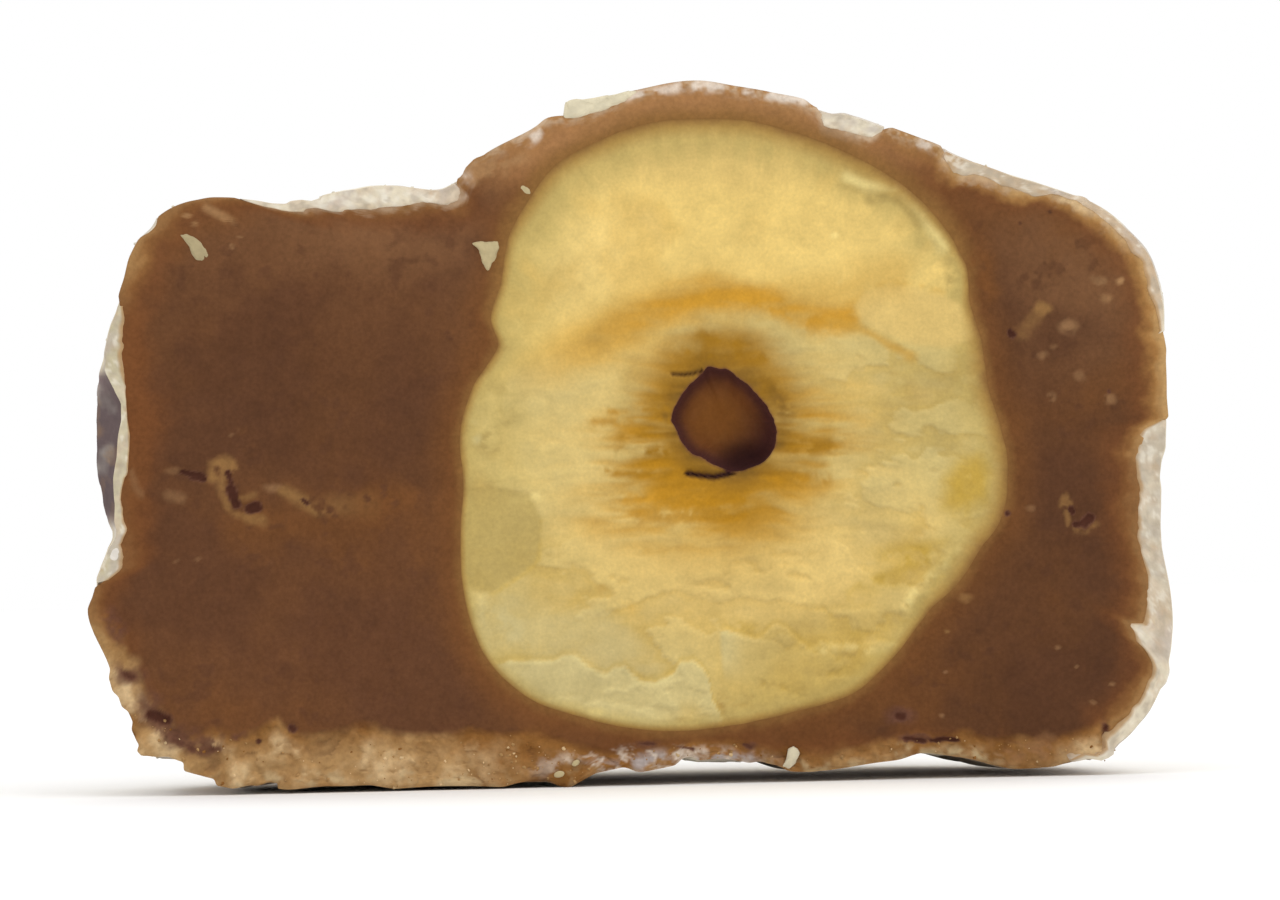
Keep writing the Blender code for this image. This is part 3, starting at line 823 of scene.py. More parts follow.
def coreInset(angles, depth):
    # how far the core lies inside the outer surface: the shown band at the cut, fading
    # within 4 mm to the thin coat
    thin = coat["thin"] * smoothStep(coat["start"], coat["start"] + 0.5, depth)
    return np.maximum(byAngle(coat["band"], angles) * fadeOut(0.4, 4.0, depth), thin)


def pitDepth(x, z):
    # how deep the pits are at every place of the cut face
    wobble = 0.075 * layeredNoise(asFlat(x, z), 0.2, 4, 41, 0.6)
    total = np.zeros(np.shape(x))
    for line, width, depth in core["pits"]:
        away = (lineDistance(x, z, line) + wobble) / width
        total = np.maximum(total, depth * fadeOut(0.1, 1.5, away))
    return total


def crustShare(x, z):
    # 1 in the crumbly crust along the base, with a ragged upper edge
    top = tableValue(core["crustTop"], x)
    top = top + core["crustRagged"] * layeredNoise(asFlat(x, z), 0.6, 4, 53)
    return fadeOut(-0.2, 0.14, z - top)


def crumbHeight(flat):
    # soft clumps of the crust, bent by a broader noise, with small crumbs in them
    bent = flat + 0.25 * layeredNoise(flat, 0.9, 2, 103)[..., None] * np.array((1.0, 0.3, 0.6))
    nearest, tone = cellNoise(bent, core["crumbSize"], 79)
    clumps = core["clumpHeight"] * layeredNoise(bent, core["clumpSize"], 4, 101, 0.5)
    return clumps + 0.02 * tone + 0.03 * nearest


def coreRelief(x, z, toRim, toNut, bare):
    # how far the cut face lies behind the cut plane: a nearly flat face with thin raised strokes,
    # its pits, a crust of crumbs along the base, and both edges turned in a little
    flat = asFlat(x, z)
    relief = 0.008 * layeredNoise(flat, 0.4, 3, 89) + 0.02 * softNoise(flat, 2.4, 97)
    relief = relief + core["pitStrength"] * pitDepth(x, z)
    crumbs = np.maximum(core["crustDepth"] + crumbHeight(flat), -core["crustProud"])
    relief = relief + crustShare(x, z) * crumbs
    relief = relief * smoothStep(0.0, 0.12, toNut)
    edge = core["rimTurn"]
    relief = relief + bare * edge * np.exp(-(toRim / edge) ** 2)
    for kind, _, _, rows in core["marks"]:
        for where, size, share in rows:
            if kind == "line":
                relief = relief - core["strokeHeight"] * share * stroke(x, z, where, size, 0.8)
    return relief


def crustPaint(x, z, flat):
    # tan clumps, lighter low down, with painted light on their proud tops and where they slope upwards,
    # painted shade where they slope downwards and deep between them, browner towards the soft core, in
    # the middle and on the right
    height = crumbHeight(flat)
    broad = layeredNoise(flat, 1.1, 5, 85, 0.65)
    fine = layeredNoise(flat, 0.3, 3, 87)
    below = tableValue(core["crustTop"], x) - z + 0.4 * broad
    middle = between(*core["brownMiddle"], x)
    right = between(*core["brownRight"], x)
    browner = 0.75 * middle + 0.5 * right + 0.7 * fadeOut(0.1, 0.8, below)
    step = 0.05
    # slope of the clumps, for painted light on upward slopes and painted shade on downward ones
    slopeShading = (crumbHeight(flat + np.array((0.0, 0.0, step))) - height) / step
    # painted light on the proud tops of the clumps
    light = smoothStep(-0.06, 0.1, -height + 0.08 * fine) * smoothStep(0.1, 0.6, below)
    pale = smoothStep(0.1, 0.4, fine - 0.6 * height + 0.4 * (0.55 - z)) * fadeOut(0.3, 0.7, z)
    return layered(plainPaint(flat.shape, core["colours"]["crustTan"]), core["colours"], (
        (browner + 1.5 * broad, "crustBrown"),
        (1.0 + np.clip(0.18 * slopeShading, -0.2, 0.15), None),
        (0.9 * light * (1.0 - 0.45 * browner), "crustLight"),
        (0.5 * pale, "cream"),
        (0.42 * np.maximum(middle, right), "crustBrown"),
        (1.0 - 0.06 * right, None),
        # painted shade deep between the clumps
        (0.45 * smoothStep(0.06, 0.16, height), "crustShade"),
    ))


def overTop(degrees):
    # 1 over the top of the cut, 0 along both sides and below
    return between(*coat["topAngles"], degrees)


def corePaint(points, angles, toRim, toNut, onCut):
    # brown, paler higher up as painted light from above, paler at the rim with a painted orange glow,
    # paler over the dome, warmer beside the kernel, with the crust, the marks, the powder and painted
    # shade in the pits laid on
    x, z = points[..., 0], points[..., 2]
    flat = asFlat(x, z) if onCut else points
    colours = core["colours"]
    degrees = inDegrees(angles)
    cloud = layeredNoise(flat, 2.6, 4, 61)
    freckles = layeredNoise(flat, 0.45, 3, 93, 0.7)
    grain = layeredNoise(flat, 0.4, 4, 69, 0.7)
    leftTone = tableValue(core["tones"], z)
    # paler brown higher up: painted light from above
    upper = smoothStep(9.0, 14.5, z) * (0.3 + 0.35 * cloud)
    paint = tinted(plainPaint(flat.shape, colours["brown"]), upper, colours["dustyAndLit"])
    paint = washed(paint, x, z, grain, core["washes"], colours)
    paint = layered(paint, colours, (
        (0.55 * smoothStep(0.0, 0.4, cloud), "warm"),
        (0.6 * smoothStep(0.02, 0.35, -cloud), "dusk"),
        (0.5 * smoothStep(0.2, 0.4, freckles), "dusk"),
        (0.8 * fadeOut(0.1, 1.1, toNut), "warm"),
        (leftTone + (core["rightTone"] - leftTone) * smoothStep(-5.0, 6.0, x), None),
    ))
    wander = 1.0 + 0.5 * layeredNoise(flat, 1.2, 3, 67)
    away = toRim / wander + 0.2 * layeredNoise(flat, 0.3, 3, 63) * smoothStep(0.0, 0.25, toRim)
    overDome = between(*core["domeAngles"], degrees)
    wide = fadeOut(0.55, 1.5, toRim + 0.15 * softNoise(flat, 1.1, 65))
    left = aroundAngle(degrees, *core["redSide"])
    shows = byAngle(core["rimShows"], angles) * (1.0 - 0.6 * left)
    frosty = overDome * fadeOut(0.02, 0.42, toRim + 0.5 * grain)
    coated = overTop(degrees) * smoothStep(0.05, 0.2, byAngle(coat["band"], angles))
    paint = layered(paint, colours, (
        (0.8 * fadeOut(0.2, 1.3, away), "rimRed"),
        (overDome * wide * (1.0 - 0.4 * fadeOut(58.0, 80.0, degrees)), "domeBrown"),
        (0.7 * left * fadeOut(0.3, 0.9, away), "rimRed"),
        # a painted orange glow of light through the thin rim, then the rim's own tan
        (shows * fadeOut(0.2, 0.66, away), "rimOrangeGlow"),
        (shows * fadeOut(0.0, 0.34, away), "rimTan"),
        (0.8 * frosty * smoothStep(-0.2, 0.15, grain), "blush"),
        (0.4 * (coated * fadeOut(0.0, 0.3, toRim + 0.5 * grain)), "blush"),
    ))
    high = smoothStep(11.0, 13.0, z)
    joint = (0.75 + 0.25 * high) * fadeOut(-0.05, 0.3 + 0.25 * high, toNut + 0.12 * grain)
    paint = tinted(paint, joint, kernel["colours"]["seam"])
    crust = crustShare(x, z) if onCut else fadeOut(*core["crustBehind"], z)
    paint = tinted(paint, crust, crustPaint(x, z, flat))
    if not onCut:
        behind = points[..., 1] - truffle["frontY"]
        powdery = 0.35 + 0.45 * smoothStep(-0.2, 0.3, grain + 0.5 * cloud)
        return layered(paint, colours, (
            (powdery * smoothStep(0.05, 0.4, behind), "frost"),
            # a pale band low down just behind the cut: powder, and painted light over the underside's
            # shade near the floor
            (0.8 * (fadeOut(0.25, 0.6, z) * fadeOut(2.0, 5.0, behind)), "frost"),
        ))
    warp = 0.09 * layeredNoise(flat, 0.26, 3, 73, 0.6)
    paint = marked(paint, x + warp, z - warp, core["marks"], colours, -0.4)
    paint = marked(paint, x + warp, z + 0.5 * warp, core["dusting"], colours, 0.8)
    powdery = spot(x, z, *core["powder"]) * smoothStep(-0.08, 0.3, grain)
    paint = tinted(paint, 0.85 * powdery, colours["frost"])
    # painted shade in the hollows between the crumbs
    for middle, size, turn in core["crumbHollowShades"]:
        mask = spot(x + 2.0 * warp, z + 1.5 * warp, middle, size, 0.6, turn)
        mask = mask * smoothStep(-0.5, -0.05, grain)
        paint = tinted(paint, 0.85 * mask, colours["softPitShade"])
    # painted shade in the pits, darker where they are deeper
    pits = pitDepth(x, z)
    return layered(paint, colours, (
        (0.9 * smoothStep(0.0, 0.08, pits), "softPitShade"),
        (smoothStep(0.05, 0.16, pits), "pitShade"),
    ))


def makeCoreSide(name, span, columns):
    # Part of the slab behind the cut face: at every angle a closed loop up the pocket's wall,
    # over the face from kernel to rim, round the outside and down its back
    slab = core["slab"]
    angles = evenAngles(truffle["rim"], *span, columns, pitDensity)
    band = byAngle(coat["band"], angles)
    inner = nutRadius(angles)
    outer = cutRadius(angles) - band
    radius = inner + (outer - inner) * np.linspace(0.0, 1.0, core["faceRows"])[:, None]
    toRim, toNut = outer - radius, radius - inner
    face = ringPoints(angles, radius, 0.0)
    face[..., 1] += coreRelief(face[..., 0], face[..., 2], toRim, toNut, fadeOut(0.02, 0.1, band))
    facePaint = corePaint(face, angles, toRim, toNut, True)
    wall = ringPoints(angles, inner, np.array((slab, *core["wallDepths"]))[:, None])
    sideDepth = np.array((*core["sideDepths"], slab))[:, None]
    side = bodySurface(angles, sideDepth, coreInset(angles, sideDepth))
    sidePaint = corePaint(side, angles, 0.0, farAway, False)
    sidePaint[0] = 0.5 * (sidePaint[0] + facePaint[-1])
    back = ringPoints(angles, (inner + outer) * 0.5, np.full((1, 1), slab))
    plain = plainPaint((1, columns, 3), core["colours"]["brown"])
    loops = np.concatenate((wall, face, side, back)).transpose(1, 0, 2)
    paint = np.concatenate((plain, plain, facePaint[:1], facePaint, sidePaint, plain))
    return makePiece(name, [tubePart(loops, paint.transpose(1, 0, 2))], coreMaterial)


def pitDensity(degrees):
    # more columns through the pits of the left side and along the base
    left = aroundAngle(degrees, 187.0, 16.0)
    corner = aroundAngle(degrees, 207.0, 14.0)
    base = aroundAngle(degrees, 270.0, 62.0)
    return 1.0 + 1.1 * left + 0.9 * corner + 0.25 * base


def makeCoreBody():
    # The core behind the cut face, with its pocket: from the pocket's pole out to its rim,
    # across behind the face, and over the outside to the back pole
    heart, start = truffle["heart"], core["bodyStart"]
    angles = allRound(truffle["rim"], core["bodyColumns"])
    pocketDepth = kernel["depth"] + core["pocketGap"]
    turn = np.linspace(0.12, 1.0, core["pocketRows"])[:, None] * math.pi / 2
    pocketRadius = (nutRadius(angles) + core["pocketSide"]) * np.sin(turn)
    pocket = ringPoints(angles, pocketRadius, start + (pocketDepth - start) * np.cos(turn))
    depth = backDepths(start, 88.6, core["bodyRows"])
    outside = bodySurface(angles, depth, coreInset(angles, depth) + core["bodyInset"])
    paint = corePaint(outside, angles, 0.3, farAway, False)
    plain = plainPaint(pocket.shape, core["colours"]["brown"])
    pocketPole = (heart[0], truffle["frontY"] + pocketDepth, heart[1])
    backPole = outside[-1].mean(axis=0) + np.array((0.0, 0.05, 0.0))
    rings, paint = np.concatenate((pocket, outside)), np.concatenate((plain, paint))
    part = tubePart(rings, paint, pocketPole, backPole)
    return makePiece("giandujaBody", [part], coreMaterial)


# The half kernel of hazelnut
kernel = {
    "edge": [
        (9.2, 7.4), (9.05, 8.4), (8.78, 9.3), (8.6, 10.6), (8.39, 11.4), (8.3, 12.3),
        (7.73, 13.34), (6.87, 14.25), (5.67, 15.0), (4.26, 15.6), (3.0, 15.93), (2.0, 15.97),
        (0.93, 15.92), (-0.55, 15.45), (-1.54, 14.88), (-2.25, 13.97), (-2.65, 13.24),
        (-2.85, 12.2), (-3.13, 11.3), (-2.97, 10.62), (-3.57, 9.7), (-3.92, 8.6), (-3.88, 7.4),
        (-3.97, 6.2), (-3.85, 4.3), (-3.45, 3.2), (-2.47, 2.2), (-1.1, 1.66), (0.4, 1.33),
        (2.3, 1.38), (3.9, 1.68), (5.4, 2.13), (6.2, 2.8), (7.2, 4.0), (7.95, 4.7), (8.53, 5.55),
        (8.98, 6.15),
    ],
    "hollow": [
        (3.67, 8.44), (3.53, 8.89), (3.15, 9.39), (2.76, 9.74), (2.57, 9.94), (2.3, 10.0),
        (2.05, 10.02), (1.92, 9.84), (1.63, 9.62), (1.4, 9.32), (1.22, 9.06), (1.14, 8.75),
        (1.25, 8.58), (1.37, 8.28), (1.6, 7.97), (1.88, 7.85), (2.12, 7.68), (2.37, 7.57),
        (2.66, 7.48), (3.0, 7.57), (3.35, 7.71), (3.61, 8.05),
    ],
    "hollowDepth": 1.7,
    # how deep or, below 0, how proud each kind of relief is
    "depths": {
        "fibres": 0.06, "flakes": -0.025, "ledges": -0.9, "flake": 0.04, "slit": 0.15,
        "crack": 0.08, "ridge": -0.08, "lowRidge": -0.03,
    },
    # single spots: middle, half sizes, softness
    "dullSpot": ((7.3, 8.9), (2.2, 2.3), 0.9),
    "glowSpot": ((-1.1, 12.9), (1.4, 1.2), 0.9),
    "litSpot": ((2.25, 8.8), (0.85, 0.8), 0.75),
    "shadeSpot": ((2.9, 7.75), (0.6, 0.4), 0.7),
    "depth": 6.6,
    "recess": 0.008,
    "columns": 760,
    "hollowRows": 22,
    "faceRows": 97,
    "backRows": 8,
    "colours": {
        "cap": (0.74, 0.53, 0.17),
        "capTop": (0.65, 0.46, 0.158),
        "pale": (0.6, 0.455, 0.168),
        "low": (0.51, 0.37, 0.122),
        "paleGreen": (0.575, 0.48, 0.225),
        "greenish": (0.52, 0.392, 0.13),
        "olive": (0.45, 0.33, 0.106),
        "oliveDeep": (0.37, 0.265, 0.085),
        "amber": (0.53, 0.3, 0.05),
        "orange": (0.54, 0.275, 0.028),
        "stain": (0.41, 0.195, 0.01),
        "deep": (0.31, 0.15, 0.01),
        "dark": (0.21, 0.108, 0.018),
        "ochre": (0.5, 0.325, 0.055),
        "bright": (0.72, 0.575, 0.225),
        "chalk": (0.58, 0.48, 0.215),
        "seam": (0.235, 0.116, 0.034),
        "edge": (0.37, 0.225, 0.06),
        "hollowLit": (0.44, 0.172, 0.038),
        "hollowWallShade": (0.125, 0.045, 0.038),
        "hollowShade": (0.05, 0.019, 0.02),
        "capLit": (0.86, 0.65, 0.23),
        "scorched": (0.33, 0.178, 0.028),
        "glow": (0.78, 0.58, 0.218),
    },
    # the stained band under the cap
    "arc": [
        (-1.5, 10.45), (-0.6, 10.9), (0.08, 11.13), (0.72, 11.36), (1.3, 11.6), (2.0, 11.72),
        (2.65, 11.68), (3.42, 11.55), (3.91, 11.39), (4.39, 11.24), (4.88, 11.14), (5.4, 11.14),
    ],
    "capFrom": [
        (-4.0, 9.6), (-1.9, 10.2), (-1.1, 10.7), (-0.5, 11.0), (0.1, 11.25), (0.7, 11.5),
        (1.4, 11.9), (2.65, 11.95), (3.4, 11.8), (4.4, 11.5), (5.4, 11.4), (6.1, 11.0),
        (6.8, 10.6), (9.3, 10.2),
    ],
    # soft washes below and left of the hollow: middle, half sizes, softness, colour, share, what
    # the grain adds to it, and the most it may be
    "washes": [
        ((2.9, 4.7), (4.8, 1.9), 0.9, "amber", 0.2, 0.0, 1.0),
        ((2.2, 5.8), (1.9, 0.9), 0.8, "amber", 0.3, 0.0, 1.0),
        ((4.9, 2.2), (2.2, 1.3), 0.8, "ochre", 0.4, 0.0, 1.0),
        ((2.3, 8.4), (3.2, 2.4), 0.7, "amber", 0.25, 1.4, 0.9),
        ((1.8, 6.8), (2.3, 0.95), 0.7, "amber", 0.8, 1.4, 1.0),
        ((1.8, 6.8), (2.3, 0.95), 0.7, "stain", 0.45, 1.5, 0.75),
        ((1.3, 10.0), (0.9, 0.6), 0.8, "stain", 0.55, 0.0, 1.0),
    ],
    # and the darker ones close to it
    "scorches": [
        ((2.5, 10.25), (1.3, 0.6), 0.8, "dark", 0.5, 0.9, 0.9),
        ((0.85, 8.1), (1.15, 1.2), 0.7, "stain", 0.6, 1.7, 1.0),
        ((4.35, 8.1), (1.1, 0.9), 0.7, "stain", 0.4, 2.0, 1.0),
    ],
    # broken ledges: X and Z along the upper edge, and how far the nut stands out below it
    "ledges": [
        ([(-3.6, 3.12), (-3.38, 3.09), (-3.09, 2.98), (-2.84, 3.13), (-2.6, 3.07), (-1.81, 3.05),
          (-1.57, 3.19), (-1.27, 3.19), (-1.08, 2.99), (-0.79, 2.78), (-0.55, 2.73), (-0.35, 2.87),
          (-0.1, 2.89), (0.04, 2.72), (0.33, 2.51), (0.62, 2.48), (0.87, 2.6), (1.07, 2.7),
          (1.22, 2.98), (1.52, 2.98), (1.76, 2.82), (1.9, 2.6), (1.98, 2.03), (2.15, 1.74),
          (2.26, 1.44), (2.4, 0.8)], 0.06),
        ([(2.03, 3.89), (2.22, 3.74), (2.51, 3.66), (2.75, 3.53), (3.0, 3.48), (3.24, 3.55),
          (3.45, 3.76), (3.59, 3.81), (3.79, 3.71), (4.03, 3.5), (4.27, 3.25), (4.41, 3.18),
          (4.56, 3.3), (4.86, 3.36), (5.39, 3.28), (5.93, 3.36), (6.42, 3.3), (7.0, 3.4)], 0.05),
        ([(4.19, 4.33), (4.39, 4.18), (4.68, 4.13), (5.51, 4.13), (6.05, 4.19)], 0.03),
    ],
    # colour marks on the cut face in groups: kind, softness, colour, then place, size and
    # share of each
    "marks": [
        ("line", 0.9, "stain", [
            ([(-0.3, 9.02), (0.4, 9.04), (1.0, 9.0)], 0.09, 0.6),
            ([(-0.7, 8.8), (0.1, 8.78), (1.0, 8.76)], 0.11, 0.6),
        ]),
        ("line", 0.9, "deep", [
            ([(0.0, 8.42), (1.0, 8.4)], 0.1, 0.6), ([(0.0, 8.02), (0.6, 8.0), (1.1, 8.02)], 0.13, 0.95),
            ([(4.07, 8.06), (4.45, 8.03), (4.85, 8.05)], 0.13, 0.85),
        ]),
        ("line", 0.9, "stain", [
            ([(-0.4, 7.5), (0.4, 7.48), (1.2, 7.48)], 0.1, 0.8),
            ([(3.4, 7.25), (4.1, 7.27), (4.84, 7.27)], 0.12, 0.6),
        ]),
        ("line", 0.9, "orange", [([(0.0, 6.9), (0.9, 6.86), (1.8, 6.87)], 0.13, 0.8)]),
        ("line", 0.9, "stain", [
            ([(0.86, 6.85), (2.0, 6.78), (3.06, 6.78)], 0.14, 0.8),
            ([(0.36, 6.47), (1.6, 6.43), (2.81, 6.41)], 0.13, 0.7),
        ]),
        ("line", 0.9, "dark", [([(2.89, 9.68), (3.4, 9.6), (3.72, 9.3), (3.87, 8.94)], 0.2, 0.85)]),
        ("spot", 0.7, "deep", [((3.3, 9.5), (0.35, 0.25), 0.6)]),
        ("line", 0.9, "deep", [
            ([(1.95, 10.74), (2.45, 10.65), (2.85, 10.53)], 0.12, 0.85),
            ([(2.1, 10.3), (2.8, 10.28), (3.4, 10.17)], 0.13, 0.8),
        ]),
        ("line", 0.9, "pale", [
            ([(1.4, 10.53), (1.83, 10.53)], 0.12, 0.2),
            ([(3.5, 11.15), (3.85, 11.12), (4.2, 10.8)], 0.18, 0.8),
        ]),
        ("line", 0.9, "orange", [([(3.2, 11.5), (4.2, 11.2), (4.9, 11.1), (5.4, 11.08)], 0.2, 0.9)]),
        ("spot", 0.8, "ochre", [
            ((8.25, 7.0), (0.55, 0.34), 0.75), ((6.9, 5.45), (0.8, 0.26), 0.6),
            ((6.1, 4.75), (0.6, 0.2), 0.4),
        ]),
        ("line", 0.9, "amber", [
            ([(5.55, 11.35), (5.8, 11.74), (6.33, 11.9), (7.06, 11.86), (7.8, 11.66)], 0.06, 0.35),
        ]),
        # painted shadow in olive below and left of the raised ridge
        ("line", 0.8, "olive", [([(6.1, 14.05), (6.77, 13.86), (7.15, 13.38), (7.25, 12.9)], 0.14, 0.9)]),
        # painted highlight along the raised ridge
        ("line", 0.7, "bright", [
            ([(5.51, 14.47), (5.89, 14.32), (6.38, 14.22), (6.6, 14.25), (6.87, 14.05), (7.25, 13.65),
              (7.58, 13.15), (7.77, 12.85), (7.92, 12.8)], 0.095, 0.9),
        ]),
        ("line", 0.9, "oliveDeep", [([(7.3, 13.9), (7.75, 13.1), (7.95, 12.4), (8.1, 11.9)], 0.16, 0.7)]),
        ("spot", 0.8, "oliveDeep", [((8.05, 11.9), (0.22, 0.35), 0.8)]),
        ("line", 0.9, "capTop", [([(0.65, 13.6), (1.0, 13.2)], 0.2, 0.4)]),
        ("line", 0.8, "ochre", [
            ([(-2.0, 6.44), (-2.02, 5.95), (-2.13, 5.5), (-2.4, 5.2), (-2.8, 4.96),
              (-3.2, 4.7)], 0.05, 0.5),
        ]),
        ("line", 0.9, "paleGreen", [([(-3.21, 4.16), (-2.78, 3.71)], 0.25, 0.8)]),
        ("spot", 0.8, "olive", [((-3.08, 9.6), (0.4, 0.35), 0.7), ((-2.9, 8.95), (0.3, 0.25), 0.5)]),
        ("spot", 0.8, "oliveDeep", [((-3.26, 8.37), (0.3, 0.3), 0.7)]),
        ("line", 0.7, "chalk", [([(-3.6, 8.74), (-3.52, 8.45)], 0.12, 0.9)]),
        ("line", 0.7, "bright", [([(-2.7, 6.93), (-2.15, 6.98)], 0.09, 0.6)]),
        ("line", 0.9, "edge", [([(-3.34, 11.21), (-3.1, 10.76), (-2.86, 10.65)], 0.16, 0.9)]),
        # a chalk line just under the first ledge: painted light on the proud sheet's upper edge
        ("line", 0.9, "chalk", [
            ([(-3.4, 2.9), (-2.5, 2.85), (-1.4, 2.95), (-0.8, 2.6), (0.3, 2.3), (1.3, 2.7)], 0.16, 0.7),
        ]),
        # a bright line just under the second ledge: painted light on the proud sheet's upper edge
        ("line", 0.9, "bright", [([(4.3, 3.05), (5.0, 3.2), (5.63, 3.1), (6.4, 3.18)], 0.12, 0.5)]),
        ("spot", 0.7, "ochre", [((-0.81, 1.76), (0.12, 0.1), 0.5)]),
        ("line", 0.9, "ochre", [
            ([(6.42, 5.21), (7.06, 5.32)], 0.16, 0.8), ([(5.42, 4.45), (6.17, 4.88)], 0.1, 0.5),
            ([(8.05, 6.44), (8.51, 7.14), (8.62, 7.53)], 0.22, 0.55),
            ([(2.6, 3.75), (2.95, 3.66)], 0.1, 0.5),
        ]),
        ("line", 0.8, "edge", [([(2.1, 2.05), (2.2, 1.8), (2.37, 1.55)], 0.14, 0.7)]),
        # painted shade below the low raised ridge
        ("line", 0.8, "oliveDeep", [
            ([(8.13, 5.22), (7.63, 4.74), (7.13, 4.27), (6.53, 3.79)], 0.14, 0.8),
        ]),
        # painted highlight along the low raised ridge
        ("line", 0.7, "bright", [
            ([(7.94, 5.47), (7.39, 4.95), (7.04, 4.61), (6.74, 4.27), (6.64, 4.08)], 0.08, 0.85),
        ]),
        ("line", 0.9, "amber", [
            ([(-0.6, 4.7), (-0.1, 4.6), (0.17, 4.28)], 0.14, 0.3),
            ([(0.3, 5.66), (0.9, 5.62)], 0.1, 0.35),
        ]),
        ("line", 0.9, "ochre", [([(5.0, 3.5), (5.9, 3.55)], 0.09, 0.3)]),
        ("spot", 0.7, "amber", [((7.77, 8.87), (0.1, 0.05), 0.5), ((7.26, 8.29), (0.12, 0.05), 0.4)]),
        ("spot", 0.7, "deep", [((8.67, 7.82), (0.08, 0.06), 0.5)]),
    ],
    # smooth sheets and bright bits, laid on unbroken; a patch has no size
    "sheets": [
        ("patch", 0.1, "capTop", [
            ([(5.6, 11.4), (5.8, 11.7), (6.33, 11.85), (7.06, 11.8), (7.79, 11.6), (8.4, 11.2),
              (8.6, 10.6), (7.8, 10.35), (7.0, 10.45), (6.44, 10.69), (6.0, 10.85),
             (5.75, 11.1)], 0, 0.75),
        ]),
        ("patch", 0.09, "olive", [
            ([(-2.03, 6.44), (-2.04, 5.95), (-2.15, 5.51), (-2.4, 5.22), (-2.8, 4.99), (-3.2, 4.73),
              (-3.49, 4.68), (-3.78, 4.76), (-4.2, 5.2), (-4.3, 7.1), (-3.3, 7.25),
             (-2.3, 7.05)], 0, 0.8),
        ]),
        ("patch", 0.28, "paleGreen", [
            ([(-3.5, 4.55), (-2.9, 4.62), (-1.9, 4.3), (-0.6, 4.25), (0.0, 3.8), (0.25, 3.25),
              (-0.4, 3.0), (-1.6, 3.25), (-3.5, 3.2), (-3.7, 4.0)], 0, 0.5),
        ]),
        ("line", 0.95, "amber", [
            ([(5.0, 11.08), (5.55, 10.93), (6.05, 10.68), (6.4, 10.45), (6.9, 10.2)], 0.11, 0.7),
        ]),
        ("line", 1.0, "amber", [([(4.4, 11.7), (5.2, 11.72), (5.9, 12.05), (6.6, 12.1)], 0.28, 0.4)]),
        ("patch", 0.3, "ochre", [
            ([(7.6, 6.5), (8.0, 6.4), (8.6, 6.7), (8.75, 7.3), (8.5, 7.75), (8.0, 7.6),
              (7.7, 7.1)], 0, 0.9),
        ]),
        ("patch", 0.2, "ochre", [
            ([(6.1, 5.25), (6.6, 5.1), (7.3, 5.35), (7.7, 5.75), (7.2, 5.7), (6.6, 5.55)], 0, 0.45),
            ([(5.3, 4.5), (5.9, 4.4), (6.6, 4.85), (6.9, 5.1), (6.1, 5.0)], 0, 0.3),
        ]),
        ("spot", 0.5, "capLit", [((5.16, 13.09), (0.1, 0.07), 1.0)]),
        ("spot", 0.5, "bright", [((-0.82, 1.78), (0.2, 0.12), 0.7)]),
        # painted highlight along the raised ridge
        ("line", 0.8, "bright", [
            ([(5.51, 14.47), (5.89, 14.32), (6.38, 14.22), (6.6, 14.25)], 0.11, 0.9),
            ([(6.87, 14.05), (7.25, 13.65), (7.58, 13.15), (7.8, 12.8)], 0.13, 0.9),
        ]),
        ("spot", 0.6, "bright", [((6.55, 14.23), (0.22, 0.09), 1.0)]),
        # painted shadow below and left of the raised ridge
        ("line", 0.9, "oliveDeep", [
            ([(6.1, 13.95), (6.5, 14.0), (6.9, 13.75), (7.15, 13.38)], 0.13, 0.6),
        ]),
    ],
    "slit": [(1.51, 7.47), (1.85, 7.41), (2.15, 7.37), (2.44, 7.43), (2.7, 7.52)],
    "crack": [(1.2, 9.86), (1.47, 9.84), (1.67, 9.86), (1.91, 9.92)],
    "ridge": [(5.51, 14.47), (6.38, 14.22), (6.87, 14.05), (7.25, 13.65), (7.9, 12.8)],
    "lowRidge": [(7.94, 5.47), (7.04, 4.61), (6.64, 4.08)],
    "flake": [
        (-2.03, 6.44), (-2.04, 5.95), (-2.15, 5.51), (-2.4, 5.22), (-2.8, 4.99), (-3.2, 4.73),
        (-3.49, 4.68), (-3.78, 4.76), (-4.4, 5.2), (-4.4, 7.1), (-3.3, 7.25), (-2.3, 7.05),
    ],
    "look": {
        "shades": [(0.9, 0.97, 1.03), (3.5, 0.95, 1.05), (12.0, 0.94, 1.06)],
        "roughScale": 2.0,
        "roughness": (0.5, 0.68),
        "bump": 0.3,
        "bumpDepth": 0.02,
        "bumpScale": 7.0,
        "specular": 0.07,
    },
}


def nutRadius(angles):
    # distance from the heart to the kernel's edge, a little ragged
    plain = closedRadius(kernel["edge"], truffle["heart"], angles)
    return plain + 0.018 * layeredNoise(onCircle(angles) * 6.0, 0.4, 2, 107)


def fibres(x, z):
    # noise drawn out sideways, bending a little round the hollow
    dx, dz = x - truffle["heart"][0], z - truffle["heart"][1]
    bend = 0.12 * dz * np.exp(-(dx / 2.2) ** 2 - (dz / 2.2) ** 2)
    wavy = 0.1 * softNoise(asFlat(x, z), 1.1, 117)
    place = asFlat(dx * 0.22, dz + bend + wavy)
    return 0.65 * layeredNoise(place, 0.42, 3, 109, 0.6) + 0.35 * layeredNoise(place, 0.17, 2, 113)


def flakes(x, z):
    # ragged, flattish flakes of nut: over 0 on the upper ones, under 0 between them
    return layeredNoise(asFlat(0.55 * x, z + 0.1 * x), 1.15, 5, 121, 0.62)


def flaky(x, z):
    # where those flakes show: in the lower half and down the right side
    right = smoothStep(3.8, 5.6, x) * fadeOut(10.0, 11.5, z)
    return np.maximum(fadeOut(4.6, 6.8, z), 0.8 * right)


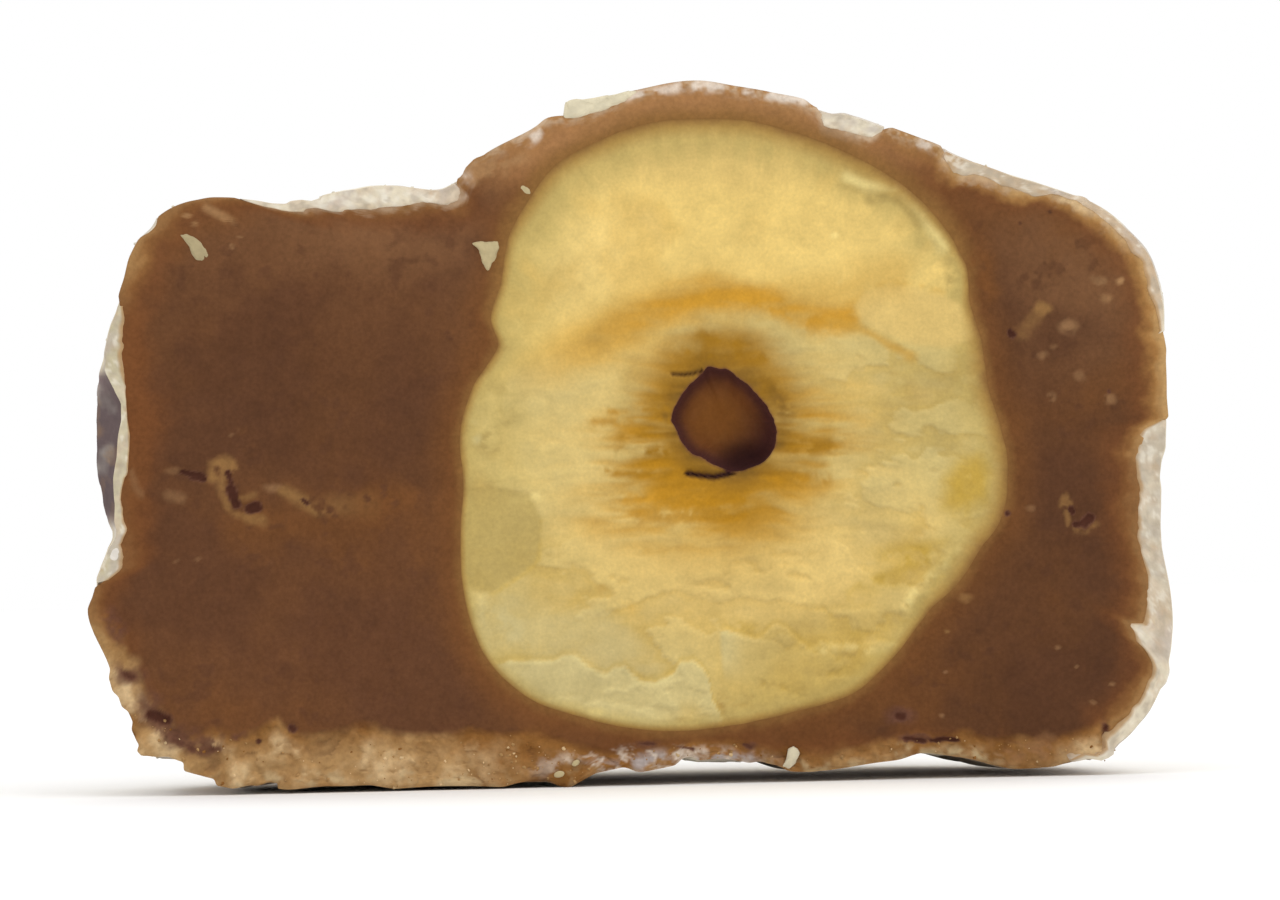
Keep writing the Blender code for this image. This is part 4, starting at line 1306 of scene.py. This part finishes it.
def ledgeDrop(x, z):
    # how far the broken ledges stand proud below their upper edges
    wobble = 0.05 * layeredNoise(asFlat(x, z), 0.3, 3, 127)
    total = np.zeros(np.shape(x))
    for line, drop in kernel["ledges"]:
        above = z - tableValue(line, x)
        along = between(line[0][0], line[0][0] + 0.3, line[-1][0] - 0.3, line[-1][0], x)
        fades = smoothStep(-2.2, -0.2, above)
        total = total + drop * along * fades * fadeOut(-0.09, 0.03, above + wobble)
    return total


def kernelRelief(x, z):
    # depth of the kernel's cut face behind its flat: fibres, ledges, a lifted flake, the slit
    # under the hollow, the crack above it, and the bright ridges standing proud
    flat = asFlat(x, z)
    dx, dz = x - truffle["heart"][0], z - truffle["heart"][1]
    near = np.exp(-(dx / 4.2) ** 2 - ((dz + 0.8) / 3.2) ** 2)
    depths = kernel["depths"]
    relief = depths["fibres"] * near * fibres(x, z) + 0.02 * layeredNoise(flat, 0.9, 4, 131)
    relief = relief + depths["flakes"] * flaky(x, z) * smoothStep(-0.05, 0.05, flakes(x, z))
    relief = relief + depths["ledges"] * ledgeDrop(x, z)
    relief = relief + depths["flake"] * patch(x, z, kernel["flake"], 0.08)
    relief = relief + depths["slit"] * stroke(x, z, kernel["slit"], 0.06, 0.9)
    relief = relief + depths["crack"] * stroke(x, z, kernel["crack"], 0.035, 0.8)
    wobble = 0.08 * layeredNoise(flat, 0.4, 3, 133)
    relief = relief + depths["ridge"] * stroke(x + wobble, z + wobble, kernel["ridge"], 0.17, 0.6)
    return relief + depths["lowRidge"] * stroke(x, z, kernel["lowRidge"], 0.1, 0.7)


def kernelPaint(x, z, toEdge, toHollow, angles):
    # yellow cap over a paler low half, fibres and stains that darken towards the hollow, an
    # orange arc under the cap, a painted glow round the hollow and at the upper left, upward slopes and
    # proud sheets a little lighter as painted light, painted shade on downward slopes, along the ledges
    # and in the slit and crack, radial streaks and a brown seam at the edge
    flat = asFlat(x, z)
    colours = kernel["colours"]
    warp = 0.2 * layeredNoise(flat, 0.9, 4, 137)
    wx, wz = x + warp, z + 0.8 * warp
    grain = fibres(x, z)
    cloud = layeredNoise(flat, 1.5, 4, 139)
    lowRight = smoothStep(2.2, 4.0, wx)
    high = smoothStep(-0.3, 0.3, wz - tableValue(kernel["capFrom"], wx))
    upperLeft = high * fadeOut(-2.3, -0.4, wx + 0.25 * (13.0 - wz))
    layer = flakes(x, z)
    shown = flaky(x, z)
    brightShare = 0.4 - 0.28 * lowRight * fadeOut(3.5, 5.5, z)
    duller = spot(wx, wz, *kernel["dullSpot"])
    bright = between(1.0, 2.1, 2.9, 4.6, toHollow) * fadeOut(9.2, 10.8, wz)
    bright = bright * (1.0 - duller) * smoothStep(-3.4, 0.4, wx)
    paint = layered(plainPaint(flat.shape, colours["pale"]), colours, (
        (0.9 * fadeOut(1.9, 4.3 + 0.9 * lowRight, wz), "low"),
        (0.6 * (fadeOut(2.6, 4.6, wz) * fadeOut(0.5, 2.4, wx)), "paleGreen"),
        (0.6 * fadeOut(-3.2, -1.4, wx), "greenish"),
        (high, "cap"),
        (0.8 * high * smoothStep(13.8, 15.3, wz), "capTop"),
        (0.5 * spot(wx, wz, *kernel["glowSpot"]), "glow"),
        (0.75 * upperLeft, "greenish"),
        (0.25 * smoothStep(0.0, 0.4, cloud), "amber"),
        (0.3 * smoothStep(0.0, 0.4, -cloud) * (1.0 - high), "chalk"),
        (brightShare * shown * smoothStep(-0.02, 0.08, layer), "bright"),
        (0.4 * shown * between(0.0, 0.06, 0.06, 0.4, -layer), "ochre"),
        (0.1 * spot(wx, wz, (2.4, 4.9), (5.0, 1.9), 0.9), "amber"),
        (1.0 - 0.17 * duller, None),
        (bright * upTo(1.0, 0.6 + 0.5 * cloud), "glow"),
    ))
    paint = washed(paint, wx, wz, grain, kernel["washes"], colours)
    cone = fadeOut(0.5, 1.3, np.abs(wx - 2.5) / (0.6 + 0.8 * upTo(2.0, 11.0 - z)))
    cone = cone * smoothStep(8.6, 9.3, z) * fadeOut(10.5, 11.2, wz)
    paint = tinted(paint, cone * upTo(0.92, 0.75 + 0.6 * grain), colours["scorched"])
    paint = washed(paint, wx, wz, grain, kernel["scorches"], colours)
    nearby = np.exp(-(toHollow / 0.75) ** 2) * (1.0 - 0.45 * spot(x, z, (3.9, 9.0), (0.9, 0.8), 0.6))
    arc = stroke(wx, wz + 0.1 * cloud, kernel["arc"], 0.42 - 0.12 * smoothStep(1.5, 3.5, x), 0.8)
    haze = stroke(wx, wz - 0.12, kernel["arc"], 0.5, 1.0)
    tail = smoothStep(-2.2, 1.6, x)
    paint = layered(paint, colours, (
        (0.5 * np.exp(-(toHollow / 1.15) ** 2), "stain"),
        (nearby * upTo(0.95, 0.55 + 1.2 * grain), "stain"),
        (np.exp(-(toHollow / 0.4) ** 2) * upTo(0.95, 0.6 + 1.5 * grain), "dark"),
        (1.0 - 0.13 * np.exp(-(toHollow / 0.8) ** 2), None),
        (0.6 * spot(wx, wz, (-0.9, 10.6), (1.5, 0.55), 0.8, 24.0), "amber"),
        (0.32 * tail * haze, "amber"),
        (upTo(1.0, 0.85 + 1.0 * grain) * tail * arc, "orange"),
    ))
    paint = marked(paint, x + 0.5 * warp, z + 0.4 * warp, kernel["marks"], colours, 0.6)
    # painted shade in ochre along the ledges' edges, and painted light on the proud sheets below them
    proud = ledgeDrop(x, z)
    shade = ledgeDrop(x, z - 0.16) * fadeOut(0.0, 0.02, proud)
    lit = smoothStep(0.01, 0.03, proud) * fadeOut(2.2, 2.9, x)
    mottle = 1.0 + 0.14 * layeredNoise(flat, 0.6, 4, 143) + 0.16 * grain * (1.0 - high)
    # slope of the relief, for painted light on upward slopes and painted shade on downward ones, over a
    # random mottle
    step = 0.04
    slopeShading = (kernelRelief(x, z + step) - kernelRelief(x, z - step)) / (2.0 * step)
    around = angles * 7.0 + 0.0 * x
    streaks = layeredNoise(np.stack((around, 0.2 * toEdge, 0.0 * x), axis=-1), 0.3, 3, 149)
    frayed = smoothStep(9.5, 12.5, z) * fadeOut(0.1, 1.7, toEdge)
    degrees = inDegrees(angles)
    wide = 1.0 + 1.1 * np.maximum(aroundAngle(degrees, 350.0, 40.0), aroundAngle(degrees, 90.0, 60.0))
    wide = wide - 0.3 * aroundAngle(degrees, 225.0, 50.0)
    paint = layered(paint, colours, (
        (0.3 * smoothStep(0.0, 0.06, shade), "ochre"),
        (0.75 * lit * smoothStep(0.015, 0.05, proud), "paleGreen"),
        (0.3 * (1.0 - 0.7 * lowRight) * smoothStep(0.02, 0.045, proud), "chalk"),
        (mottle + np.clip(0.33 * slopeShading, -0.14, 0.1), None),
        (frayed * upTo(0.95, 0.4 + 2.0 * streaks), "greenish"),
        (0.6 * fadeOut(0.2, 0.62, toEdge / wide), "olive"),
    ))
    paint = marked(paint, x + 0.2 * warp, z + 0.2 * warp, kernel["sheets"], colours, -1.5)
    # painted shade in the slit under the hollow and the crack above it
    slit = stroke(x, z, kernel["slit"], 0.06, 0.8)
    crack = 0.5 * stroke(x, z, kernel["crack"], 0.045, 0.9)
    return layered(paint, colours, (
        (upTo(1.0, 0.92 + 0.5 * streaks) * fadeOut(0.06, 0.28, toEdge / wide), "edge"),
        (fadeOut(-0.02, 0.13, toEdge / wide + 0.05 * streaks), "seam"),
        (np.maximum(slit, crack), "hollowShade"),
    ))


def makeKernel():
    # From the bottom of the hollow up its wall, across the cut face to the rim, and round
    # the back
    heart, recess = truffle["heart"], kernel["recess"]
    colours = kernel["colours"]
    angles = allRound(kernel["edge"], kernel["columns"])
    outer = nutRadius(angles) + 0.02
    rough = 0.06 * layeredNoise(onCircle(angles) * 1.2, 0.4, 4, 151, 0.6)
    hollow = closedRadius(kernel["hollow"], heart, angles) + rough
    swing = np.linspace(0.06, 1.0, kernel["hollowRows"])[:, None] * math.pi / 2
    bowlRadius = hollow * np.sin(swing) ** 0.75
    bowl = ringPoints(angles, bowlRadius, recess + kernel["hollowDepth"] * np.cos(swing) ** 0.8)
    bowl[..., 1] += 0.12 * layeredNoise(bowl, 0.5, 3, 157) * np.cos(swing)
    share = np.linspace(0.0, 1.0, kernel["faceRows"] + 1)[1:, None]
    radius = hollow + (outer - hollow) * share
    toEdge = outer - radius
    face = ringPoints(angles, radius, recess)
    x, z = face[..., 0], face[..., 2]
    face[..., 1] += kernelRelief(x, z) * smoothStep(0.02, 0.16, toEdge)
    turn = np.linspace(0.0, 1.0, kernel["backRows"] + 2)[1:-1, None] * math.pi / 2
    back = ringPoints(angles, outer * np.cos(turn), np.maximum(kernel["depth"] * np.sin(turn), 0.3))
    facePaint = kernelPaint(x, z, toEdge, radius - hollow, angles)
    bowlX, bowlZ = bowl[..., 0], bowl[..., 2]
    # inside the hollow: painted shade on the dark walls and in a darker spot near the bottom, and a
    # painted lit patch
    lit = spot(bowlX, bowlZ, *kernel["litSpot"]) * fadeOut(0.7, 0.98, bowlRadius / hollow)
    bowlPaint = layered(plainPaint(bowl.shape, colours["hollowWallShade"]), colours, (
        (lit, "hollowLit"),
        (0.8 * spot(bowlX, bowlZ, *kernel["shadeSpot"]), "hollowShade"),
    ))
    bowlPaint[-1] = 0.5 * (bowlPaint[-1] + facePaint[0])
    rows = np.concatenate((bowl, face, back))
    paint = np.concatenate((bowlPaint, facePaint, plainPaint(back.shape, colours["olive"])))
    backPole = (heart[0], truffle["frontY"] + kernel["depth"], heart[1])
    return makePiece("hazelnutKernel", [tubePart(rows, paint, end=backPole)], kernelMaterial)


def coatShape(angles, depth):
    # The coat's outer surface at angles and depths: how proud it stands of the truffle's
    # outer surface, how far it covers, and the noises it is made of
    base = bodySurface(angles, depth, 0.0)
    powder = layeredNoise(base, 0.9, 4, 163)
    drift = 0.16 * powder * smoothStep(0.05, 0.6, depth)
    band = byAngle(coat["band"], angles + drift)
    patches = layeredNoise(base, 3.4, 3, 167)
    nearest, tone = cellNoise(base, 0.42, 173)
    shown = smoothStep(0.03, 0.1, band) * fadeOut(0.6, 2.2, depth + 1.5 * powder)
    starts = smoothStep(coat["start"], coat["start"] + 0.35, depth + 0.7 * powder)
    patchy = smoothStep(-0.78, -0.4, patches + 0.7 * powder)
    offGround = smoothStep(0.3, 0.55, base[..., 2] + 0.15 * powder)
    cover = np.maximum(shown, starts * patchy * domeCover(angles, depth, powder)) * offGround
    crumbs = coat["crumbHeight"] * tone * (1.0 - nearest)
    relief = coat["powderHeight"] * powder + crumbs - 0.02
    roll = byAngle(coat["roll"], angles) * fadeOut(0.0, 1.0, depth) ** 1.5
    roll = roll + coat["edgeRound"] * fadeOut(0.0, 0.15, depth)
    sunk = 0.3 + coreInset(angles, depth) * 0.5
    height = cover * (relief * smoothStep(0.0, 0.3, depth) - roll * shown) - (1.0 - cover) * sunk
    noises = {"powder": powder, "patches": patches, "tone": tone, "cover": cover}
    return base, height, noises


def makeCoat():
    # From a hidden inner shell to its edge in the cut, where that shows, and over the outside
    # to the back pole, powdery and patchy
    angles = allRound(truffle["rim"], coat["columns"], bandDensity)
    outline = cutRadius(angles)
    band, roll = byAngle(coat["band"], angles), byAngle(coat["roll"], angles)
    shown = smoothStep(0.03, 0.1, band)
    front = np.arange(coat["sideRows"])[:, None] * coat["sideStep"] + 0.03
    depth = np.concatenate((front, backDepths(front[-1, 0] + 0.08, 88.8, coat["backRows"])))
    less, middle, reach = coat["lessSetBack"]
    pushed = coat["setBack"] - less * aroundAngle(inDegrees(angles), middle, reach)
    depth = depth + pushed * (1.0 - shown) * fadeOut(0.0, 1.6, depth)
    base, height, noises = coatShape(angles, depth)
    outside = bodySurface(angles, depth, -height)
    share = np.linspace(1.0, 0.0, coat["frontRows"])[:, None]
    wander = layeredNoise(ringPoints(angles, outline, 0.0), 0.5, 4, 185)
    over = np.minimum(0.08, 0.4 * (band - roll))
    over = np.maximum(over * (1.0 + 2.5 * wander) - 0.03, 0.015)
    over = np.minimum(over, 0.2 - 0.4 * roll)
    inset = coat["edgeRound"] + roll + (band - roll + over) * share
    inset = inset * shown + 0.75 * (1.0 - shown)
    edge = ringPoints(angles, outline - inset, 0.0)
    flaky = 0.04 * layeredNoise(edge, 0.35, 3, 181) + 0.03 * softNoise(edge, 0.9, 183)
    tuck = 0.08 * smoothStep(0.9, 1.0, share)
    edge[..., 1] += (tuck - 0.02 + 0.6 * flaky) * shown + pushed * (1.0 - shown)
    hiddenDepth = np.array(coat["hiddenDepths"])[:, None]
    hidden = bodySurface(angles, hiddenDepth, coat["hiddenInset"])
    plain = plainPaint(hidden.shape, coat["colours"]["rubbed"])
    edgePaint = edgeColours(edge, angles, share)
    rows = np.concatenate((hidden, edge, outside))
    paint = np.concatenate((plain, edgePaint, coatPaint(base, depth, noises, angles)))
    return makePiece("sugarCoat", [tubePart(rows, paint)], coatMaterial)


def bandDensity(degrees):
    # more columns where the coat's edge shows in the cut, fewer along the ground
    stretches = ((180.0, 20.0), (345.0, 30.0), (146.0, 14.0), (40.0, 40.0))
    shows = np.max([aroundAngle(degrees, *stretch) for stretch in stretches], axis=0)
    return 1.0 + 0.8 * shows - 0.6 * aroundAngle(degrees, 270.0, 60.0)


def domeCover(angles, depth, powder):
    # how much of the coat is left: 0.2 over the rubbed dome near the cut, 1 elsewhere
    over = between(*coat["rubbedAngles"], inDegrees(angles))
    return 1.0 - over * fadeOut(2.2, 3.4, depth + 1.2 * powder) * 0.8


def edgeColours(edge, angles, share):
    # cream and white crumbs of the coat's edge, with each stretch's own tint
    colours = coat["colours"]
    degrees = inDegrees(angles)
    crumb = layeredNoise(edge, 0.4, 3, 187)
    nearest, tone = cellNoise(edge, 0.22, 191)
    paint = plainPaint(edge.shape, colours["cream"])
    paint = tinted(paint, smoothStep(0.0, 0.5, crumb + 0.4 * tone), colours["white"])
    for first, last, colour, amount in coat["sections"]:
        near = aroundAngle(degrees, (first + last) / 2, 0.6 * (last - first) + 1.5)
        paint = tinted(paint, near * (amount + 0.35 * crumb), colours[colour])
    grey = layeredNoise(edge, 0.9, 4, 193, 0.65)
    specks = layeredNoise(edge, 0.15, 2, 197)
    rim = 0.2 / (byAngle(coat["band"], angles) + 0.15)
    inner = smoothStep(1.0 - rim, 1.0 - 0.3 * rim, share + 0.2 * crumb)
    return layered(paint, colours, (
        (0.5 * smoothStep(0.05, 0.5, -crumb - 0.3 * tone), "blush"),
        (0.5 * smoothStep(0.0, 0.35, grey), "lilac"),
        (0.5 * smoothStep(0.55, 0.8, tone) * (1.0 - nearest), "tan"),
        (0.6 * smoothStep(0.08, 0.4, specks), "shade"),
        (0.6 * smoothStep(0.2, 0.45, -specks), "white"),
        ((0.85 - 0.7 * overTop(degrees)) * inner, "tan"),
    ))


def coatPaint(base, depth, noises, angles):
    # cream and white powder, lilac in broad clouds, painted shade in mauve and darker on the left bulge,
    # which turns away from the light, brown where thin
    colours = coat["colours"]
    powder, patches, tone = noises["powder"], noises["patches"], noises["tone"]
    cloud = layeredNoise(base, 2.6, 3, 179)
    near = byAngle(coat["roll"], angles) / 0.5
    bulge = smoothStep(0.1, 0.5, near) * fadeOut(1.2, 3.6, depth + powder)
    return layered(plainPaint(base.shape, colours["cream"]), colours, (
        (smoothStep(0.05, 0.5, powder + 0.3 * tone), "white"),
        (0.6 * smoothStep(0.0, 0.5, cloud + 0.4 * powder), "lilac"),
        (0.5 * smoothStep(0.05, 0.5, -cloud - 0.4 * powder), "blush"),
        # painted shade on the left bulge: mauve, and darker
        (bulge * (0.95 - 0.5 * smoothStep(0.1, 0.5, powder)), "shadedPowder"),
        (1.0 - 0.4 * bulge * smoothStep(-0.1, 0.3, cloud), None),
        (0.7 * smoothStep(0.1, 0.6, -powder - 0.5 * patches), "rubbed"),
        (0.8 * fadeOut(0.45, 1.0, noises["cover"] + 0.2 * tone), "rubbed"),
    ))


# Chips of sugar and nut that stick to the cut, and loose crumbs and grains
chips = {
    # outline, height, colour
    "shapes": [
        ([(-10.59, 13.52), (-10.44, 13.54), (-10.2, 13.43), (-10.0, 13.23), (-9.85, 13.06),
          (-9.84, 12.92), (-10.0, 12.8), (-10.16, 12.82), (-10.26, 12.98), (-10.34, 13.18),
          (-10.5, 13.4)], 0.09, "pale"),
        ([(-3.56, 13.12), (-3.39, 13.17), (-2.9, 13.15), (-2.87, 12.95), (-3.02, 12.65), (-3.16, 12.45),
          (-3.32, 12.6), (-3.38, 12.96)], 0.1, "straw"),
        ([(-1.33, 16.05), (-1.3, 16.38), (-1.15, 16.51), (-0.74, 16.51), (-0.36, 16.56), (0.1, 16.64),
          (0.45, 16.68), (0.4, 16.5), (0.1, 16.36), (-0.2, 16.24), (-0.58, 16.14),
          (-0.97, 16.04)], 0.12, "ivory"),
        ([(3.91, 0.93), (4.05, 0.7), (3.97, 0.46), (3.77, 0.29), (3.62, 0.39), (3.72, 0.56),
          (3.76, 0.81)], 0.08, "ivory"),
    ],
    # small round bits: middle, half sizes, turn in degrees, height, colour
    "bits": [
        ((-2.27, 14.36), (0.21, 0.14), -35.0, 0.06, "straw"),
        ((-12.26, 5.85), (0.15, 0.2), -30.0, 0.06, "white"),
        ((-1.74, 0.32), (0.13, 0.08), 10.0, 0.05, "straw"),
        ((-1.34, 0.58), (0.11, 0.07), 30.0, 0.05, "straw"),
    ],
    "colours": {
        "pale": (0.41, 0.335, 0.19),
        "straw": (0.5, 0.41, 0.23),
        "ivory": (0.67, 0.6, 0.43),
        "white": (0.72, 0.67, 0.6),
    },
    "columns": 48,
    "rows": 13,
    "crumbs": 420,
    "crumbAngles": (204.0, 334.0),
    "grains": 2400,
    "grainSizes": (0.02, 0.07),
    "seed": 77,
}


def chipPart(outline, height, colour, seed):
    # A pillow with a wandering edge: its outline walked in even steps and rounded off, shrunk
    # about its middle from the side to a domed front and a domed back
    corners = np.array(list(outline) + [outline[0]])
    steps = np.hypot(*np.diff(corners, axis=0).T)
    walked = np.concatenate(((0.0,), np.cumsum(steps)))
    along = np.linspace(0.0, walked[-1], chips["columns"] + 1)[:-1]
    ring = np.stack([np.interp(along, walked, corners[:, axis]) for axis in (0, 1)], axis=-1)
    ring = (np.roll(ring, 1, axis=0) + 2.0 * ring + np.roll(ring, -1, axis=0)) / 4.0
    middle = ring.mean(axis=0)
    swing = np.linspace(0.06, 0.94, chips["rows"])[:, None] * math.pi
    flat = middle + (ring - middle) * np.sin(swing)[..., None] ** 0.55
    away = -height * np.cos(swing) + 0.0 * flat[..., 0]
    places = np.stack((flat[..., 0], truffle["frontY"] + 0.04 + away, flat[..., 1]), axis=-1)
    bend = layeredNoise(places, 0.16, 2, seed + 9)[..., None] * (flat - middle)
    places = places + 0.2 * np.stack((bend[..., 0], 0.0 * away, bend[..., 1]), axis=-1)
    places[..., 1] += 0.5 * height * layeredNoise(places, 0.2, 3, seed)
    tone = 1.0 + 0.12 * layeredNoise(places, 0.2, 2, seed + 5)
    return tubePart(places, plainPaint(places.shape, colour) * tone[..., None])


def roundOutline(middle, size, turn):
    # points of an ellipse
    angles = np.arange(16) * math.tau / 16
    c, s = math.cos(math.radians(turn)), math.sin(math.radians(turn))
    dx, dz = size[0] * np.cos(angles), size[1] * np.sin(angles)
    return list(zip(middle[0] + dx * c - dz * s, middle[1] + dx * s + dz * c))


def makeChips():
    # one pillow for every shape and for every bit
    colours = chips["colours"]
    parts = []
    for index, (outline, height, colour) in enumerate(chips["shapes"]):
        parts.append(chipPart(outline, height, colours[colour], 300 + index))
    for index, (middle, size, turn, height, colour) in enumerate(chips["bits"]):
        outline = roundOutline(middle, size, turn)
        parts.append(chipPart(outline, height, colours[colour], 330 + index))
    return makePiece("sugarChips", parts, chipMaterial)


def grainPart(centres, sizes, colours, seed):
    # Many small rounded lumps of 24 triangles: two rings of six points between two poles,
    # each lump squashed and turned its own way
    draw = np.random.RandomState(seed)
    count = len(centres)
    turn = np.arange(6) * math.tau / 6
    low = np.stack((0.85 * np.cos(turn), 0.85 * np.sin(turn), np.full(6, -0.5)), axis=-1)
    high = np.stack((0.85 * np.cos(turn + 0.5), 0.85 * np.sin(turn + 0.5), np.full(6, 0.5)), axis=-1)
    unit = np.concatenate(([[0.0, 0.0, -1.0]], low, high, [[0.0, 0.0, 1.0]]))
    stretch = draw.uniform(0.6, 1.15, (count, 1, 3))
    basis = np.linalg.qr(draw.normal(size=(count, 3, 3)))[0]
    basis *= np.sign(np.linalg.det(basis))[:, None, None]
    shape = (unit + draw.normal(0.0, 0.07, (count, 14, 3))) * stretch
    shape = np.einsum("nij,nkj->nki", basis, shape)
    places = centres[:, None, :] + shape * sizes[:, None, None]
    first = np.arange(6)
    after = (first + 1) % 6
    quads = np.stack((1 + first, 1 + after, 7 + after, 7 + first), axis=-1)
    fans = np.concatenate((
        np.stack((0 * first, 1 + after, 1 + first), axis=-1),
        np.stack((0 * first + 13, 7 + first, 7 + after), axis=-1),
    ))
    offsets = (np.arange(count) * 14)[:, None, None]
    paint = np.repeat(colours, 14, axis=0)
    return places.reshape(-1, 3), (quads + offsets).reshape(-1, 4), (fans + offsets).reshape(-1, 3), paint


def pickedColours(draw, names, colours, count):
    # one of the named colours for each grain, a little lighter or darker
    palette = np.array([colours[name] for name in names])
    return palette[draw.randint(len(names), size=count)] * draw.uniform(0.85, 1.12, (count, 1))


def grainSizes(draw, count):
    # mostly small, a few large
    smallest, largest = chips["grainSizes"]
    return smallest + (largest - smallest) * draw.uniform(0.0, 1.0, count) ** 2.5


def makeCrumbs():
    # crumbs that stand on the crust of the cut face
    draw = np.random.RandomState(chips["seed"])
    count = chips["crumbs"]
    angles = np.radians(draw.uniform(*chips["crumbAngles"], count))
    toRim = draw.uniform(0.03, 1.5, count)
    places = ringPoints(angles, cutRadius(angles) - toRim, 0.0)
    kept = crustShare(places[:, 0], places[:, 2]) > 0.6
    places, toRim = places[kept], toRim[kept]
    sizes = grainSizes(draw, len(places))
    relief = coreRelief(places[:, 0], places[:, 2], toRim, farAway, 1.0)
    places[:, 1] += relief + 0.3 * sizes
    names = ("crustTan", "crustTan", "crustTan", "crustBrown", "crustLight")
    colours = pickedColours(draw, names, core["colours"], len(places))
    return makePiece("crustCrumbs", [grainPart(places, sizes, colours, 401)], coreMaterial)


def makeGrains():
    # sugar grains over the outside, where the coat covers
    draw = np.random.RandomState(chips["seed"] + 1)
    count = chips["grains"]
    angles = draw.uniform(0.0, math.tau, count)
    depth = 0.15 + 10.5 * draw.uniform(0.0, 1.0, count) ** 0.8
    base, height, noises = coatShape(angles, depth)
    kept = (noises["cover"] > 0.5) & (base[:, 2] > 0.6) & (byAngle(coat["roll"], angles) < 0.1)
    places = bodySurface(angles, depth, -height)[kept]
    sizes = grainSizes(draw, len(places))
    colours = pickedColours(draw, ("cream", "white", "white"), coat["colours"], len(places))
    return makePiece("sugarGrains", [grainPart(places, sizes, colours, 402)], coatMaterial)


light = {
    "surroundings": 0.74,        # strength of the pale room on the truffle
    # round soft lights: name, place, width, energy
    "lamps": [
        ("key", (90.0, -160.0, 150.0), 120.0, 0.09), ("top", (0.0, 10.0, 1000.0), 2000.0, 7.0),
    ],
    "aimHeight": 8.0,            # of the point that they look at
    "floor": 0.98,
    "floorHalf": 250.0,
}


def makeLights():
    # a pale room, seen as white, a large soft light from the upper right front, and a
    # larger one overhead
    world = bpy.data.worlds.new("paleRoom")
    bpy.context.scene.world = world
    world.use_nodes = True
    nodes, links = world.node_tree.nodes, world.node_tree.links
    room = nodes["Background"]
    room.inputs["Color"].default_value = (1.0, 1.0, 1.0, 1.0)
    room.inputs["Strength"].default_value = light["surroundings"]
    seen = nodes.new("ShaderNodeBackground")
    seen.inputs["Color"].default_value = (1.0, 1.0, 1.0, 1.0)
    path = nodes.new("ShaderNodeLightPath")
    either = nodes.new("ShaderNodeMixShader")
    links.new(path.outputs["Is Camera Ray"], either.inputs["Fac"])
    links.new(room.outputs["Background"], either.inputs[1])
    links.new(seen.outputs["Background"], either.inputs[2])
    links.new(either.outputs["Shader"], nodes["World Output"].inputs["Surface"])
    for name, place, width, energy in light["lamps"]:
        lamp = bpy.data.lights.new(name + "Light", "AREA")
        lamp.shape = "DISK"
        lamp.size = width * mm
        lamp.energy = energy
        lit = placed(name + "Light", lamp)
        lit.location = [value * mm for value in place]
        aim = -lit.location.copy()
        aim.z += light["aimHeight"] * mm
        lit.rotation_euler = aim.to_track_quat("-Z", "Y").to_euler()


def makeFloor():
    # a pale square under everything
    half = light["floorHalf"] * mm
    mesh = bpy.data.meshes.new("paleFloor")
    corners = [(-half, -half, 0), (half, -half, 0), (half, half, 0), (-half, half, 0)]
    mesh.from_pydata(corners, [], [(0, 1, 2, 3)])
    material = bpy.data.materials.new("paleFloor")
    material.use_nodes = True
    shader = material.node_tree.nodes["Principled BSDF"]
    shader.inputs["Base Color"].default_value = (light["floor"], light["floor"], light["floor"], 1.0)
    shader.inputs["Roughness"].default_value = 0.9
    shader.inputs["Specular IOR Level"].default_value = 0.1
    mesh.materials.append(material)
    floor = placed("paleFloor", mesh)


view = {
    "width": 30.72,              # millimetres of the cut plane that the picture takes in
    "distance": 200.0,
    "middle": (0.38, 8.06),      # X and Z at the middle of the picture
    "roll": 1.33,                # degrees
}


def makeCamera():
    # level with the middle of the cut face, straight in front of it, with a slight roll
    data = bpy.data.cameras.new("camera")
    data.sensor_width = 36.0
    data.lens = data.sensor_width * view["distance"] / view["width"]
    data.clip_start = 0.01
    data.clip_end = 10.0
    camera = placed("camera", data)
    y = truffle["frontY"] - view["distance"]
    camera.location = (view["middle"][0] * mm, y * mm, view["middle"][1] * mm)
    camera.rotation_euler = (math.radians(90.0), math.radians(view["roll"]), 0.0)
    bpy.context.scene.camera = camera


def onRoot(piece, replaced=None):
    # the piece rides on the one body, and takes a node's place where it shows the same thing
    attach(piece, "root")
    if replaced:
        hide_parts(replaced)


bpy.context.scene.view_settings.view_transform = "Standard"
makeCamera()
makeLights()
makeFloor()
print("stage ready")

coreMaterial = paintedMaterial("gianduja", core["look"])
kernelMaterial = paintedMaterial("hazelnut", kernel["look"])
coatMaterial = paintedMaterial("sugarPowder", coat["look"])
chipMaterial = paintedMaterial("sugarChip", coat["look"])

for side, span, columns in core["halves"]:
    onRoot(makeCoreSide("giandujaCut" + side, span, columns), "gianduja")
onRoot(makeCoreBody(), "gianduja")
print("core ready")

onRoot(makeKernel(), "hazelnut")
print("kernel ready")

onRoot(makeCoat(), "sugar_coat")
print("coat ready")

onRoot(makeChips())
onRoot(makeCrumbs())
onRoot(makeGrains())
print("chips, crumbs and grains ready")
